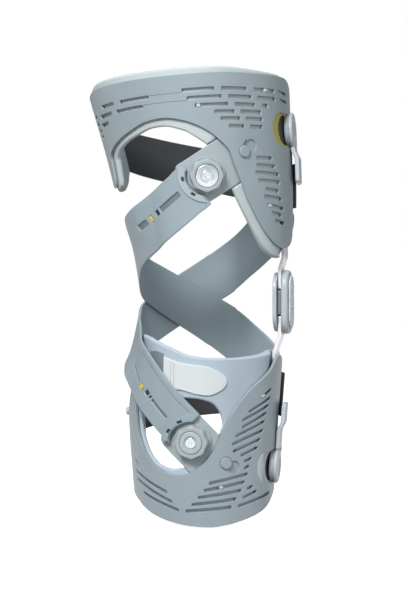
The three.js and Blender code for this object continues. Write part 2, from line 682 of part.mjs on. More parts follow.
// Force straps with their dials
function knob() {
  const shape = turned([
    [0, DIAL.axleHeight + GAP], [DIAL.axle + GAP, DIAL.axleHeight + GAP], [DIAL.axle + GAP, GAP],
    [DIAL.knob - 0.6, GAP], [DIAL.knob, GAP + 0.9], [DIAL.knob, 4.6], [DIAL.top, 7.4],
    [DIAL.capRadius + GAP, DIAL.knobHeight], [DIAL.capRadius + GAP, 7], [0, 7],
  ], DIAL.lobes * 2);
  const spots = shape.attributes.position;
  for (let i = 0; i < spots.count; i += 1) {
    const radius = Math.hypot(spots.getX(i), spots.getY(i));
    if (radius < DIAL.top - 0.1) continue;
    const wave = (1 - Math.cos(DIAL.lobes * Math.atan2(spots.getY(i), spots.getX(i)))) / 2;
    const factor = 1 - (DIAL.lobeDepth * wave) / radius;
    spots.setXY(i, spots.getX(i) * factor, spots.getY(i) * factor);
  }
  return shape;
}

function dialCap() {
  const foot = 7 + GAP;
  const top = foot + DIAL.capHeight;
  return turned([
    [0, foot], [DIAL.capRadius, foot], [DIAL.capRadius, top - 0.5], [DIAL.capRadius - 0.8, top],
    [4.6, top], [4, top - 0.5], [0, top - 0.5],
  ], 12);
}

function hookRing(dial, inner, outer) {
  return formed(7, 1, (u, v, w) => {
    const turn = THREE.MathUtils.degToRad((2 * u - 1) * HOOK.halfTurn);
    const radius = THREE.MathUtils.lerp(HOOK.outer, HOOK.inner, v);
    const lift = THREE.MathUtils.lerp(inner, outer, w);
    return tonguePoint(dial, radius * Math.cos(turn), radius * Math.sin(turn), lift);
  });
}

function forceStrap(route, end, dial, marks) {
  const top = route[0].lift + STRAP.wall;
  const body = strap(route, end, STRAP.width, 3);
  const notch = disc(DIAL.notch, -8, 12, 20).applyMatrix4(seat(dial.angle, dial.height, TONGUE.outer));
  const pockets = [...marks.pockets, marks.marker];
  const cutters = pockets.map((span) => strapBlock(route, span, MARK.width, STRAP.wall - MARK.pocket, 6));
  return cut(join(body, [hookRing(dial, top - 1.6, top + HOOK.rise)]), [notch, ...cutters]);
}

function strapMarker(route, { from, to, side }) {
  const low = STRAP.wall - MARK.pocket + GAP;
  return strapBlock(route, { from: from + 0.3, to: to - 0.3, side }, MARK.width - 0.6, low, STRAP.wall + 0.2);
}

// Back straps and hinge-side fastenings
function backStrap(route, rivet) {
  const hole = disc(RIVET.hole, -6, 6, 10).applyMatrix4(seat(rivet.angle, rivet.height, route[0].lift));
  return cut(strap(route, route[route.length - 1].round, STRAP.backWidth, 2), [hole]);
}

function strapRivet(rivet, lift) {
  const top = SHELL.inner + SHELL.wall + GAP;
  const foot = lift - 0.1 - top;
  const body = turned([
    [0, foot], [RIVET.neck, foot], [RIVET.neck, 0], [RIVET.radius, 0], [RIVET.radius, RIVET.head - 1],
    [RIVET.radius - 1, RIVET.head], [0, RIVET.head],
  ], 8);
  return body.applyMatrix4(seat(rivet.angle, rivet.height, top));
}

function keyholeRim(keyhole) {
  const outer = SHELL.inner + SHELL.wall - GAP;
  const inset = (distance) => {
    const scale = perDegree((keyhole.from + keyhole.to) / 2, keyhole.height, SHELL_TOP);
    return { ...keyhole, from: keyhole.from + distance / scale, to: keyhole.to - distance / scale };
  };
  const ring = keyholeBody(inset(0.4), KEYHOLE.width - 0.8, SHELL.inner + GAP, outer);
  const insideWidth = KEYHOLE.width - 0.8 - 2 * KEYHOLE.wall;
  return cut(ring, [keyholeBody(inset(0.4 + KEYHOLE.wall), insideWidth, SHELL.inner - 1, outer + 1)]);
}

function buckle(spot) {
  const body = turned([
    [0, -BUCKLE.neckDepth], [BUCKLE.neck - 0.6, -BUCKLE.neckDepth], [BUCKLE.neck, 0.6 - BUCKLE.neckDepth],
    [BUCKLE.neck + 0.4, 0], [BUCKLE.radius, 0.8], [BUCKLE.radius, BUCKLE.depth - BUCKLE.edge],
    [BUCKLE.radius - BUCKLE.edge, BUCKLE.depth], [8.4, BUCKLE.depth], [7.4, BUCKLE.depth - 0.9],
    [0, BUCKLE.depth - 0.9],
  ], 12);
  return body.applyMatrix4(seat(spot.angle, spot.height, SHELL_TOP + GAP));
}

function buckleTab(plate, spot) {
  const body = formed(2, 6, (u, v, w) => {
    const angle = THREE.MathUtils.lerp(BUCKLE_TAB.from, BUCKLE_TAB.to, u);
    const low = Math.min(plate.top, plate.end);
    const height = THREE.MathUtils.lerp(low, Math.max(plate.top, plate.end), v);
    const bend = THREE.MathUtils.clamp((height - plate.step) / (plate.bend - plate.step), 0, 1);
    const lift = THREE.MathUtils.lerp(BUCKLE_TAB.seat, BUCKLE_TAB.free, bend);
    return legPoint(angle, height, lift + w * BUCKLE_TAB.wall);
  });
  const clear = disc(BUCKLE.radius + 2 * GAP, -6, 14, 20);
  return cut(body, [clear.applyMatrix4(seat(spot.angle, spot.height, SHELL_TOP))]);
}

// Hinge
function alongX(radius, from, to, height, sides = 10) {
  const rod = new THREE.CylinderGeometry(radius, radius, to - from, sides);
  return rod.rotateZ(Math.PI / 2).translate((from + to) / 2, 0, height);
}

function bar(stations, pinHeight) {
  const outline = [
    ...stations.map(({ height, inner }) => new THREE.Vector2(inner, height)),
    ...[...stations].reverse().map(({ height, inner }) => new THREE.Vector2(inner + BAR.wall, height)),
  ];
  const shape = new THREE.Shape(outline);
  const flat = new THREE.ExtrudeGeometry(shape, { depth: BAR.width, bevelEnabled: false });
  flat.rotateX(Math.PI / 2).translate(0, BAR.width / 2, 0);
  return cut(flat, [alongX(HINGE.pinRadius + GAP, 55, 75, pinHeight)]);
}

function oblong(half, from, to, bevel) {
  const radius = HINGE.width / 2 - bevel;
  const straight = half - HINGE.width / 2;
  const outline = new THREE.Shape();
  outline.absarc(0, straight, radius, 0, Math.PI, false);
  outline.absarc(0, -straight, radius, Math.PI, 2 * Math.PI, false);
  const flat = new THREE.ExtrudeGeometry(outline, {
    depth: to - from - bevel,
    curveSegments: 6,
    bevelEnabled: bevel > 0,
    bevelThickness: bevel,
    bevelSize: bevel,
    bevelSegments: 1,
  });
  const stand = new THREE.Matrix4().makeBasis(
    new THREE.Vector3(0, 1, 0), new THREE.Vector3(0, 0, 1), new THREE.Vector3(1, 0, 0),
  );
  return flat.applyMatrix4(stand).translate(from, 0, 0);
}

function hingeCover() {
  const bevel = HINGE.bevel;
  const body = oblong(HINGE.coverHalf, HINGE.coverInner - bevel, HINGE.coverOuter, bevel);
  const back = new THREE.BoxGeometry(10, 60, 80).translate(HINGE.coverInner - 5, 0, 0);
  const radius = HINGE.pinRadius + GAP;
  const pins = [1, -1].map((way) => alongX(radius, 60, HINGE.coverInner + 2.3, way * HINGE.pinHeight));
  return cut(body, [back, ...pins]);
}

function hingeInnerPlate() {
  return oblong(HINGE.plateHalf, HINGE.plateInner, HINGE.plateOuter, 0);
}

function hingeCore() {
  const low = LOWER_BAR[3].height + 0.5;
  const high = UPPER_BAR[0].height - 0.5;
  const width = BAR.width + 4;
  const core = new THREE.BoxGeometry(HINGE.coverInner - HINGE.plateOuter - 2 * GAP, width, high - low);
  return core.translate((HINGE.coverInner + HINGE.plateOuter) / 2, 0, (high + low) / 2);
}

function hingePin(height) {
  return alongX(HINGE.pinRadius, HINGE.plateOuter + GAP, HINGE.coverInner + 2, height);
}

// The brace as a scene
const brace = new THREE.Group();

function add(name, geometry, finish, parent = brace) {
  const piece = new THREE.Mesh(geometry, new THREE.MeshStandardMaterial(FINISH[finish]));
  piece.geometry.computeVertexNormals();
  piece.name = name;
  parent.add(piece);
}

function addDial(name, dial) {
  const group = new THREE.Group();
  seat(dial.angle, dial.height, DIAL.baseLift).decompose(group.position, group.quaternion, group.scale);
  add(`${name}_dial_knob`, knob(), 'knob', group);
  add(`${name}_dial_cap`, dialCap(), 'metal', group);
  brace.add(group);
}

function addFastening(name, band, plate) {
  add(`${name}_keyhole_rim`, keyholeRim(KEYHOLES[name]), name === 'thigh' ? 'yellow' : 'blue');
  add(`${name}_buckle`, buckle(BUCKLES[name]), 'shell');
  add(`${name}_buckle_tab`, buckleTab(plate, BUCKLES[name]), 'shell');
  const rivet = RIVETS.find(({ strap: owner }) => owner === name);
  add(`${name}_strap`, backStrap(band, rivet), 'band');
  add(rivet.name, strapRivet(rivet, band[0].lift), 'shell');
}

const SLOTS = { rim: rimSlots(), thigh: THIGH_SLOTS, calf: CALF_SLOTS };
const calfWindow = panel(CALF_WINDOW, -3, LINER.outer + 3, { across: 1 });
const thighSlots = [...SLOTS.rim, ...SLOTS.thigh];
add('thigh_shell', shell(THIGH_SHELL, thighSlots, KEYHOLES.thigh, STUDS[0], RIVETS[0]), 'shell');
add('calf_shell', shell(CALF_SHELL, SLOTS.calf, KEYHOLES.calf, STUDS[1], RIVETS[1]), 'shell');
add('thigh_liner', liner(THIGH_LINER, 2, DIALS.upper, THIGH_STRAP_ROUTE, []), 'liner');
add('calf_liner', liner(CALF_LINER, 3, DIALS.lower, CALF_STRAP_ROUTE, [calfWindow]), 'liner');
add('calf_liner_tab', panel(CALF_TAB, TAB.inner, TAB.outer, { across: 2, step: 7 }), 'tab');
add('upper_tongue', tongue(DIALS.upper), 'tongue');
add('lower_tongue', tongue(DIALS.lower), 'tongue');
addDial('upper', DIALS.upper);
addDial('lower', DIALS.lower);
add('upper_force_strap', forceStrap(UPPER_FORCE_ROUTE, UPPER_FORCE_END, DIALS.upper, UPPER_MARKS), 'strap');
add('lower_force_strap', forceStrap(LOWER_FORCE_ROUTE, LOWER_FORCE_END, DIALS.lower, LOWER_MARKS), 'strap');
add('upper_strap_marker', strapMarker(UPPER_FORCE_ROUTE, UPPER_MARKS.marker), 'yellow');
add('lower_strap_marker', strapMarker(LOWER_FORCE_ROUTE, LOWER_MARKS.marker), 'yellow');
addFastening('thigh', THIGH_STRAP_ROUTE, THIGH_TAB);
addFastening('calf', CALF_STRAP_ROUTE, CALF_TAB_PLATE);
STUDS.forEach((stud) => add(stud.name, linerStud(stud), 'shell'));
SLOT_PINS.forEach((pin) => add(pin.name, slotPin(pin), 'pale'));
add('hinge_upper_bar', bar(UPPER_BAR, HINGE.pinHeight), 'metal');
add('hinge_lower_bar', bar(LOWER_BAR, -HINGE.pinHeight), 'metal');
add('hinge_core', hingeCore(), 'knob');
add('hinge_inner_plate', hingeInnerPlate(), 'metal');
add('hinge_cover', hingeCover(), 'shell');
add('hinge_pin_upper', hingePin(HINGE.pinHeight), 'metal');
add('hinge_pin_lower', hingePin(-HINGE.pinHeight), 'metal');

export default brace;
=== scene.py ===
"""Knee brace in its worn form: slotted shells over pads, dials with force straps, back straps, a hinge.

Tables and sizes are in millimetres and degrees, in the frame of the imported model: +Z is up, -Y is the
front and +X is the hinge side. Angles run round the brace from its front, positive towards the hinge.
"""

import math

import bpy
import numpy as np
from mathutils import Matrix, Vector

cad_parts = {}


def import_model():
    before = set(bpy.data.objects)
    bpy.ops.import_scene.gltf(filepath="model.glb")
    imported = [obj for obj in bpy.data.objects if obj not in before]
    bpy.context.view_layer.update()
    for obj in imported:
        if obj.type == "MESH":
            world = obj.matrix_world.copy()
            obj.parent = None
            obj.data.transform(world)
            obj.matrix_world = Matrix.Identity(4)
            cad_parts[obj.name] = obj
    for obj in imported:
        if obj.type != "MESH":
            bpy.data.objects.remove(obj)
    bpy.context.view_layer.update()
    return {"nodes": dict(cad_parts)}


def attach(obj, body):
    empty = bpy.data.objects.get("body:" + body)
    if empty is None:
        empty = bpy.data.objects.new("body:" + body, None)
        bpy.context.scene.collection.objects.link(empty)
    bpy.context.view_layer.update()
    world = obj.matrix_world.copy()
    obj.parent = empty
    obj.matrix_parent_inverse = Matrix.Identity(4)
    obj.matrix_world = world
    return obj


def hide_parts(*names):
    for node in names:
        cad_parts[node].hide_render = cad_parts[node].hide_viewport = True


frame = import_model()
scene = bpy.context.scene
MM = 0.001

# Camera: the photograph's angle, from the hinge side of the front
CAMERA_AZIMUTH = math.radians(12)
CAMERA_DISTANCE = 1.6
CAMERA_LENS, SENSOR_WIDTH = 114.95, 36
LOOK_ACROSS = -0.0008
LOOK_HEIGHT = -0.0029

# The form that the brace is shaped over: height, and reach to the left, right, front and back
FORM_SECTIONS = (
    (-200, 46, 42, 43, 53),
    (-140, 52, 45, 47.5, 62),
    (-90, 55, 48, 51, 63),
    (-40, 47.5, 52, 56, 60),
    (0, 50, 55.5, 60, 60),
    (40, 53.8, 59, 61.5, 63),
    (80, 63.5, 60, 64, 68),
    (120, 73.5, 59, 68, 74),
    (160, 85.5, 57, 72, 79),
    (200, 97, 55.5, 76, 86),
)
REACH_COLUMNS = (1, 2, 3, 4)

# Layers, as distances above the form
PAD_INNER = 0.3
PAD_OUTER = {"thigh": 4.8, "calf": 4.5}
SHELL_INNER, SHELL_WALL = 5.2, 2.4
SHELL_OUTER = SHELL_INNER + SHELL_WALL
HINGE_RISE, RISE_FROM, RISE_TO = 4.4, 40, 75
TONGUE_INNER, TONGUE_OUTER = 2.6, 4.6
DIAL_LIFT = 5.2
STRAP_WIDTH, BACK_STRAP_WIDTH, STRAP_WALL = 38, 36, 2.3
SLOT_WIDTH = {"thigh": 2.9, "calf": 2.5}

# Panels are drawn flat, at so many millimetres to a degree, and then bent over the form
FLAT = {"thigh": 1.3, "calf": 1.05}
# Panel outlines: angle, low edge, high edge
LOW_EDGE, HIGH_EDGE = 1, 2
THIGH_SHELL = (
    (-108, 112, 150),
    (-102, 101, 160),
    (-92, 96, 165),
    (-80, 95, 168),
    (-66, 95.5, 171.5),
    (-63, 101, 172.2),
    (-61.5, 118, 172.5),
    (-55, 124.5, 173.3),
    (-45.5, 130.2, 174.2),
    (-33, 137, 175.2),
    (-22, 142.6, 176.3),
    (-11, 144.8, 177.2),
    (-1, 142.6, 178.2),
    (13.5, 135.8, 179.3),
    (23, 127.6, 179.9),
    (30, 118.7, 180.2),
    (34, 106, 180.3),
    (38, 94.8, 180.4),
    (43, 81, 180.4),
    (52, 63, 180.4),
    (61, 50.6, 180.4),
    (69, 44.8, 180.4),
    (76, 43.5, 180.4),
    (84, 45, 180),
    (96, 52, 176),
    (106, 66, 168),
    (112, 84, 154),
)
THIGH_LINER = (
    (-106, 108, 156),
    (-100, 98, 164.5),
    (-90, 92, 169.5),
    (-78, 91, 172.5),
    (-66, 92, 176),
    (-61, 95, 177.2),
    (-58.5, 106, 177.7),
    (-56, 116.5, 178.1),
    (-43.5, 126.3, 179.5),
    (-30.5, 132.6, 180.9),
    (-19.5, 137.2, 181.9),
    (-12.5, 138, 182.6),
    (-3, 135.2, 183.2),
    (10, 127.2, 184),
    (18.5, 120.2, 184.4),
    (24, 111, 184.6),
    (28, 99, 184.7),
    (32.5, 88.4, 184.7),
    (38, 76.7, 184.6),
    (46, 62, 184.3),
    (53.5, 49.5, 183.9),
    (60, 41, 183.5),
    (67.5, 36.3, 183.2),
    (76, 35.5, 183),
    (84, 37.5, 182.5),
    (96, 45, 178.5),
    (104, 57, 172),
    (110, 74, 160),
)
CALF_SHELL = (
    (-106, -128, -92),
    (-100, -140, -82),
    (-90, -148, -76),
    (-78, -153, -73),
    (-64, -157.5, -73),
    (-56.5, -160.6, -76),
    (-53.5, -162.2, -82),
    (-52, -163, -92),
    (-50, -163.9, -103.5),
    (-44.5, -166.5, -115.5),
    (-38.5, -169, -124.2),
    (-29.5, -171.8, -131.5),
    (-20.5, -174.2, -136),
    (-10.5, -176.3, -137.5),
    (-0.5, -177.6, -135),
    (9, -178.3, -129.3),
    (17.5, -178.5, -120.4),
    (23.5, -178.2, -110.3),
    (28, -177.6, -100.3),
    (35, -176.7, -89.3),
    (43.5, -175.2, -77.2),
    (56, -172, -65),
    (70, -167, -54),
    (80, -162.5, -43.5),
    (86, -159, -42),
    (93, -155.5, -44.7),
    (101, -152, -56),
    (110, -147, -74),
    (117, -134, -98),
)
CALF_LINER = (
    (-104, -126, -62),
    (-98, -138, -48),
    (-88, -147, -36),
    (-76, -152, -29),
    (-60, -158, -26),
    (-46, -165, -27.6),
    (-37, -168.5, -30),
    (-16, -174.2, -36.8),
    (0.5, -176.5, -42.2),
    (16.5, -177, -44.1),
    (33, -175.8, -44.3),
    (52, -172, -43),
    (66.5, -167, -41.3),
    (78, -162, -39),
    (86, -157.5, -38.5),
    (94, -152, -41),
    (102, -142, -52),
    (107, -130, -72),
)
CALF_WINDOW = (
    (-53, -94, -88),
    (-50, -103, -83),
    (-44, -115.5, -79.5),
    (-37, -124, -77.5),
    (-28, -130, -76),
    (-16.5, -132.7, -75.5),
    (-5, -131, -76),
    (5, -126, -76.7),
    (17, -116, -79.5),
    (25, -106, -86.5),
    (28.5, -98, -95),
)
CALF_TAB = (
    (-24, -60, -43.2),
    (-16, -68.6, -45.5),
    (-7.5, -69.3, -47.6),
    (3.5, -72.2, -49.2),
    (14.5, -73.8, -50.7),
    (20.5, -72.4, -53),
    (25.5, -70, -55.8),
    (28.8, -67.4, -58),
    (30.2, -65.4, -59.8),
    (30.7, -63.6, -61.6),
)

# Thigh slots that follow the top rim: how far below it, from and to an angle
RIM_SLOTS = (
    (12.7, -1, 20.5),
    (12.7, 25.5, 44.5),
    (12.7, 50, 67.5),
    (12.7, 72, 86),
    (19, 2, 25.5),
    (19, 30.5, 48),
    (19, 52.5, 68.5),
    (19, 74, 87),
    (25, 7.5, 30),
    (25, 35, 50.5),
    (25, 56, 61),
    (30.7, 20.5, 34.5),
    (30.7, 39, 55),
    (36.2, 24.5, 38.5),
    (36.2, 43, 56),
    (42.2, 30, 41.5),
    (42.2, 46, 55.5),
    (15.3, -37.5, -18.5),
    (15.3, -55, -42.5),
    (22, -41.5, -22.5),
    (22, -60, -46),
    (28.4, -62, -51.5),
    (18.2, -75, -67.5),
    (24.4, -73.5, -66.5),
    (30, -71.5, -65.5),
    (35.6, -68.5, -64),
)
# Other slots: from and to an angle, the height at the first end and the rise to the other
THIGH_SLOTS = (
    (50, 62.5, 114, 0),
    (50, 65, 108.2, -0.5),
    (49, 68.5, 102.5, -1),
    (51, 69.5, 96.3, -1.1),
    (56.5, 68, 89.5, -1.3),
    (55.5, 71.5, 83.7, -1.6),
    (58, 74, 77, -2.4),
    (62, 71.5, 71.2, -2),
    (64.5, 75.5, 64.9, -1.8),
)
CALF_SLOTS = (
    (61.5, 73, -75.5, 6.6),
    (50.5, 72.5, -87, 11.4),
    (45, 70.5, -93.8, 11.9),
    (45, 68.5, -99.5, 11.5),
    (39, 67, -106.5, 11.7),
    (36, 65.5, -112.7, 10.7),
    (37, 63, -118.6, 9.5),
    (44.5, 60.5, -122, 6.2),
    (48, 55, -126.8, 2.6),
    (48, 53, -132.4, 2),
    (16, 52, -143.5, 6.7),
    (11.5, 49, -149.2, 6.1),
    (6.5, 46, -154.9, 5.1),
    (0.5, 41, -160.6, 4.2),
    (-4.5, 36.5, -165.8, 3),
    (51.5, 57, -148.8, 1.9),
    (47.5, 61.5, -155.8, 4.9),
    (43, 80, -162.5, 9.5),
    (-59, -20.5, -135.7, -15.6),
    (-57, -16, -142.4, -16.5),
    (-47.5, -10.5, -153, -12.4),
    (-60.5, -53.5, -126.8, -4),
)

# Strap routes round the free side: degrees travelled, height, lift off the form, and tilt, which is how
# much further the upper edge lifts than the middle
HEIGHT, LIFT, TILT = 1, 2, 3
UPPER_FORCE_ROUTE = (
    (-28, 112.7, 5.4, 0),
    (-8, 93.4, 5.4, 0),
    (10, 76, 5.4, 0),
    (16, 71, 5.1, 0.1),
    (28, 62.4, 2.6, 2.2),
    (42, 55, 4.2, 4.2),
    (52, 50, 4.4, 3.7),
    (62, 43.8, 2.8, 2.5),
    (76, 34.3, 1.4, 1.4),
    (95, 22, 0.8, 0),
    (120, 12, 1, 0),
    (150, -3, 1, 0),
    (170, -14, 1, 0),
    (184, -23, 1.6, 0),
    (195, -31, 4.2, 0),
    (208, -42, 5.2, 0),
    (221, -54.5, 10.2, 0),
    (232, -66, 15.6, 0),
)
LOWER_FORCE_ROUTE = (
    (-16, -122, 5.3, 0),
    (4, -102.4, 5.3, 0),
    (9, -97.5, 6.6, 0),
    (17, -89.1, 7, 0),
    (33, -70.8, 8.5, 0.5),
    (45, -56.7, 9.8, -0.5),
    (55, -46.2, 8.8, -3.4),
    (65, -38.2, 9.2, -6),
    (78, -30.7, 8.4, -6),
    (95, -22.4, 6.8, -3),
    (112, -15, 4.6, -0.6),
    (140, 0, 4, 0),
    (170, 18, 4.2, 0),
    (190, 33, 4.6, 0),
    (203, 44.5, 2.8, 0),
    (214, 56, 5, 0),
    (227, 73, 10.4, 0),
    (238, 89, 15.6, 0),
)
FORCE_ROUTES = {"upper": UPPER_FORCE_ROUTE, "lower": LOWER_FORCE_ROUTE}
BACK_ROUTES = {
    "thigh": (
        (92, 131, 2.2, 0),
        (112, 128, 2.2, 0),
        (126, 124.5, 1.6, 0),
        (140, 121, 1, 0),
        (180, 111, 1, 0),
        (217, 102, 1.5, 0),
        (231, 99, 6.8, 0),
        (242, 96.5, 12.5, 0),
        (258, 95, 12.5, 0),
    ),
    "calf": (
        (80, -90, 1.8, 0),
        (110, -87, 1.8, 0),
        (124, -84.5, 1.4, 0),
        (138, -81.5, 1, 0),
        (180, -77, 1, 0),
        (211, -75.5, 1.5, 0),
        (225, -75, 6.8, 0),
        (236, -75, 12.5, 0),
        (258, -75, 12.5, 0),
    ),
}


# Smooth reading of a table, without overshoot
def slopes(x, y):
    rise = np.diff(y) / np.diff(x)
    before, after = rise[:-1], rise[1:]
    total = np.where(before + after == 0, 1, before + after)
    inner = np.where(before * after > 0, 2 * before * after / total, 0)
    return np.concatenate(([rise[0]], inner, [rise[-1]]))


def ease(t):
    """From nought to one, with a soft start and end."""
    t = np.clip(t, 0, 1)
    return t * t * (3 - 2 * t)


def read(table, column, at):
    """A column's value at places along the table's first column."""
    rows = np.array(table, float)
    x, y = rows[:, 0], rows[:, column]
    slope = slopes(x, y)
    i = np.clip(np.searchsorted(x, at) - 1, 0, len(x) - 2)
    span = x[i + 1] - x[i]
    t = np.clip((at - x[i]) / span, 0, 1)
    start = slope[i] * span * t * (1 - t) ** 2
    end = slope[i + 1] * span * t * t * (1 - t)
    return y[i] + (y[i + 1] - y[i]) * ease(t) + start - end


# Points on the form, and above it along its outward direction
def base_point(angle, height):
    turn = np.radians(angle)
    left, right, front, back = (read(FORM_SECTIONS, column, height) for column in REACH_COLUMNS)
    side = np.where(np.sin(turn) > 0, right, left)
    depth = np.where(np.cos(turn) > 0, front, back)
    return np.stack((np.sin(turn) * side, -np.cos(turn) * depth, height), axis=-1)


def round_step(angle, height):
    """The step over one degree round the form."""
    return base_point(angle + 0.5, height) - base_point(angle - 0.5, height)


def outward(angle, height):
    up = base_point(angle, height + 0.5) - base_point(angle, height - 0.5)
    normal = np.cross(round_step(angle, height), up)
    return normal / np.linalg.norm(normal, axis=-1, keepdims=True)


def form_point(angle, height, lift):
    angle, height, lift = np.broadcast_arrays(*(np.asarray(v, float) for v in (angle, height, lift)))
    return base_point(angle, height) + outward(angle, height) * lift[..., None]


def per_degree(angle, height, lift):
    """Millimetres to a degree."""
    step = form_point(angle + 0.5, height, lift) - form_point(angle - 0.5, height, lift)
    return np.linalg.norm(step, axis=-1)


def hinge_rise(angle):
    """How much further out the shells stand towards the hinge."""
    return HINGE_RISE * ease((np.asarray(angle, float) - RISE_FROM) / (RISE_TO - RISE_FROM))


def seat(angle, height, lift):
    """Matrix of a seat above the form, in metres: x round it, y up it and z outwards."""
    angle, height = float(angle), float(height)
    out = Vector(outward(angle, height))
    across = Vector(round_step(angle, height))
    across = (across - out * across.dot(out)).normalized()
    matrix = Matrix((across, out.cross(across), out)).transposed().to_4x4()
    matrix.translation = Vector(form_point(angle, height, lift)) * MM
    return matrix


def strap_spot(route, travelled, side):
    """Angle, height and lift of places on a strap, given along it and to the side of its middle."""
    height = read(route, HEIGHT, travelled)
    scale = per_degree(-travelled, height, read(route, LIFT, travelled))
    ahead = read(route, HEIGHT, travelled + 0.5) - read(route, HEIGHT, travelled - 0.5)
    length = np.hypot(scale, ahead)
    angle = -travelled - side * ahead / length / scale
    lift = read(route, LIFT, -angle) - read(route, TILT, -angle) * side / (STRAP_WIDTH / 2)
    return angle, height - side * scale / length, lift


def strap_point(route, travelled, side, lift):
    angle, height, foot = strap_spot(route, travelled, side)
    return form_point(angle, height, foot + lift)


# Blender steps that every piece uses
def only(obj):
    bpy.ops.object.select_all(action="DESELECT")
    obj.select_set(True)
    bpy.context.view_layer.objects.active = obj


def set_all(target, settings):
    for key, value in settings.items():
        setattr(target, key, value)


def finish_with(obj, kind, **settings):
    """Adds a modifier and applies it."""
    only(obj)
    modifier = obj.modifiers.new(kind.title(), kind)
    set_all(modifier, settings)
    bpy.ops.object.modifier_apply(modifier=modifier.name)


def smooth(obj):
    """Smooth shading that keeps large faces flat beside small round edges."""
    only(obj)
    bpy.ops.object.shade_smooth()
    finish_with(obj, "WEIGHTED_NORMAL", mode="FACE_AREA", weight=60, keep_sharp=False)


def coordinates(mesh):
    spots = np.empty(len(mesh.vertices) * 3)
    mesh.vertices.foreach_get("co", spots)
    return spots.reshape(-1, 3)


def move_to(mesh, points):
    mesh.vertices.foreach_set("co", np.ascontiguousarray(points, dtype=np.float32).ravel())
    mesh.update()


def lay_uv(mesh, flat):
    """A UV map from flat places, in metres."""
    layer = mesh.uv_layers.new(name="UVMap")
    corner = np.empty(len(mesh.loops), dtype=np.int32)
    mesh.loops.foreach_get("vertex_index", corner)
    layer.data.foreach_set("uv", (flat[corner, :2] * MM).astype(np.float32).ravel())


def coat(obj, material):
    obj.data.materials.clear()
    obj.data.materials.append(material)


def dress(obj, material, body="frame", nodes=()):
    """Gives a piece its material, the body it rides on and the nodes that it stands for."""
    coat(obj, material)
    if nodes:
        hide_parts(*nodes)
    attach(obj, body)


def drawn(name, lines, closed, **settings):
    """A mesh made from drawn lines of points, left in edit mode with all of it selected."""
    curve = bpy.data.curves.new(name, "CURVE")
    set_all(curve, settings)
    for line in lines:
        spline = curve.splines.new("POLY")
        spline.points.add(len(line) - 1)
        for point, spot in zip(spline.points, line):
            point.co = (*spot, 1)
        spline.use_cyclic_u = closed
    obj = bpy.data.objects.new(name, curve)
    scene.collection.objects.link(obj)
    only(obj)
    bpy.ops.object.convert(target="MESH")
    bpy.ops.object.mode_set(mode="EDIT")
    bpy.ops.mesh.select_all(action="SELECT")
    return obj


# A flat plate with rounded edges, cut into small cells and bent to its place
PLATE_WELD = 0.004
# Widest cells, across and up
CELLS = (4, 4)
SHELL_CELLS = (4, 5)
STRAP_CELLS = (3.3, 4.5)
BACK_STRAP_CELLS = (4, 6)
CRESCENT_CELLS = (2, 3)
SMALL_CELLS = (3, 3)
FINE_CELLS = (2, 2)


def cell_lines(outline, pitch):
    """Cuts across and up an outline, each a point and a direction, no further apart than the pitch."""
    flat = np.array(outline)
    lines = []
    for axis, normal in ((0, (1, 0, 0)), (1, (0, 1, 0))):
        low, high = flat[:, axis].min(), flat[:, axis].max()
        count = math.ceil((high - low) / pitch[axis])
        for i in range(1, count):
            spot = [0, 0, 0]
            spot[axis] = low + (high - low) * i / count
            lines.append((spot, normal))
    return lines


def plate(name, rings, place, wall, edge, pitch=CELLS, edge_steps=2, folds=()):
    """The rings are an outline and its holes. Folds are cuts that come before those of the cells."""
    lines = [[(x, y, 0) for x, y in ring] for ring in rings]
    obj = drawn(name, lines, True, dimensions="2D", fill_mode="BOTH", extrude=wall / 2 - edge,
                bevel_depth=edge, bevel_resolution=edge_steps, offset=-edge)
    bpy.ops.mesh.remove_doubles(threshold=PLATE_WELD)
    for spot, normal in (*folds, *cell_lines(rings[0], pitch)):
        bpy.ops.mesh.select_all(action="SELECT")
        bpy.ops.mesh.bisect(plane_co=spot, plane_no=normal)
    bpy.ops.object.mode_set(mode="OBJECT")
    spots = coordinates(obj.data)
    lay_uv(obj.data, spots)
    move_to(obj.data, place(spots[:, 0], spots[:, 1], spots[:, 2] + wall / 2) * MM)
    smooth(obj)
    return obj


# Pieces turned on a lathe, then set on their seats
LATHE_WELD = 0.002
LATHE_EDGE_ANGLE = math.radians(28)
LOBE_FROM, LOBE_BLEND = 12, 1.2
UV_TURN = 10


def turned(name, profile, matrix, steps, edge, lobes=0, lobe_depth=0.0):
    """The profile is radius and height. Lobes are the ridges of a grip, whose rim is drawn in between."""
    obj = drawn(name, [[(radius, 0, height) for radius, height in profile]], False, dimensions="3D")
    bpy.ops.mesh.spin(steps=steps, angle=2 * math.pi, center=(0, 0, 0), axis=(0, 0, 1))
    bpy.ops.mesh.select_all(action="SELECT")
    bpy.ops.mesh.remove_doubles(threshold=LATHE_WELD)
    bpy.ops.mesh.dissolve_degenerate(threshold=LATHE_WELD)
    bpy.ops.mesh.select_all(action="SELECT")
    bpy.ops.mesh.normals_make_consistent(inside=False)
    bpy.ops.object.mode_set(mode="OBJECT")
    finish_with(obj, "BEVEL", width=edge, segments=3, limit_method="ANGLE", angle_limit=LATHE_EDGE_ANGLE)
    spots = coordinates(obj.data)
    radius = np.hypot(spots[:, 0], spots[:, 1])
    turn = np.arctan2(spots[:, 1], spots[:, 0])
    lay_uv(obj.data, np.stack((radius, turn * UV_TURN), axis=-1))
    if lobes:
        wave = (1 - np.cos(lobes * turn)) / 2
        grip = np.clip((radius - LOBE_FROM) / LOBE_BLEND, 0, 1)
        factor = 1 - lobe_depth * wave * grip / np.maximum(radius, 1)
        spots[:, :2] *= factor[:, None]
    move_to(obj.data, spots * MM)
    obj.data.transform(matrix)
    smooth(obj)
    return obj


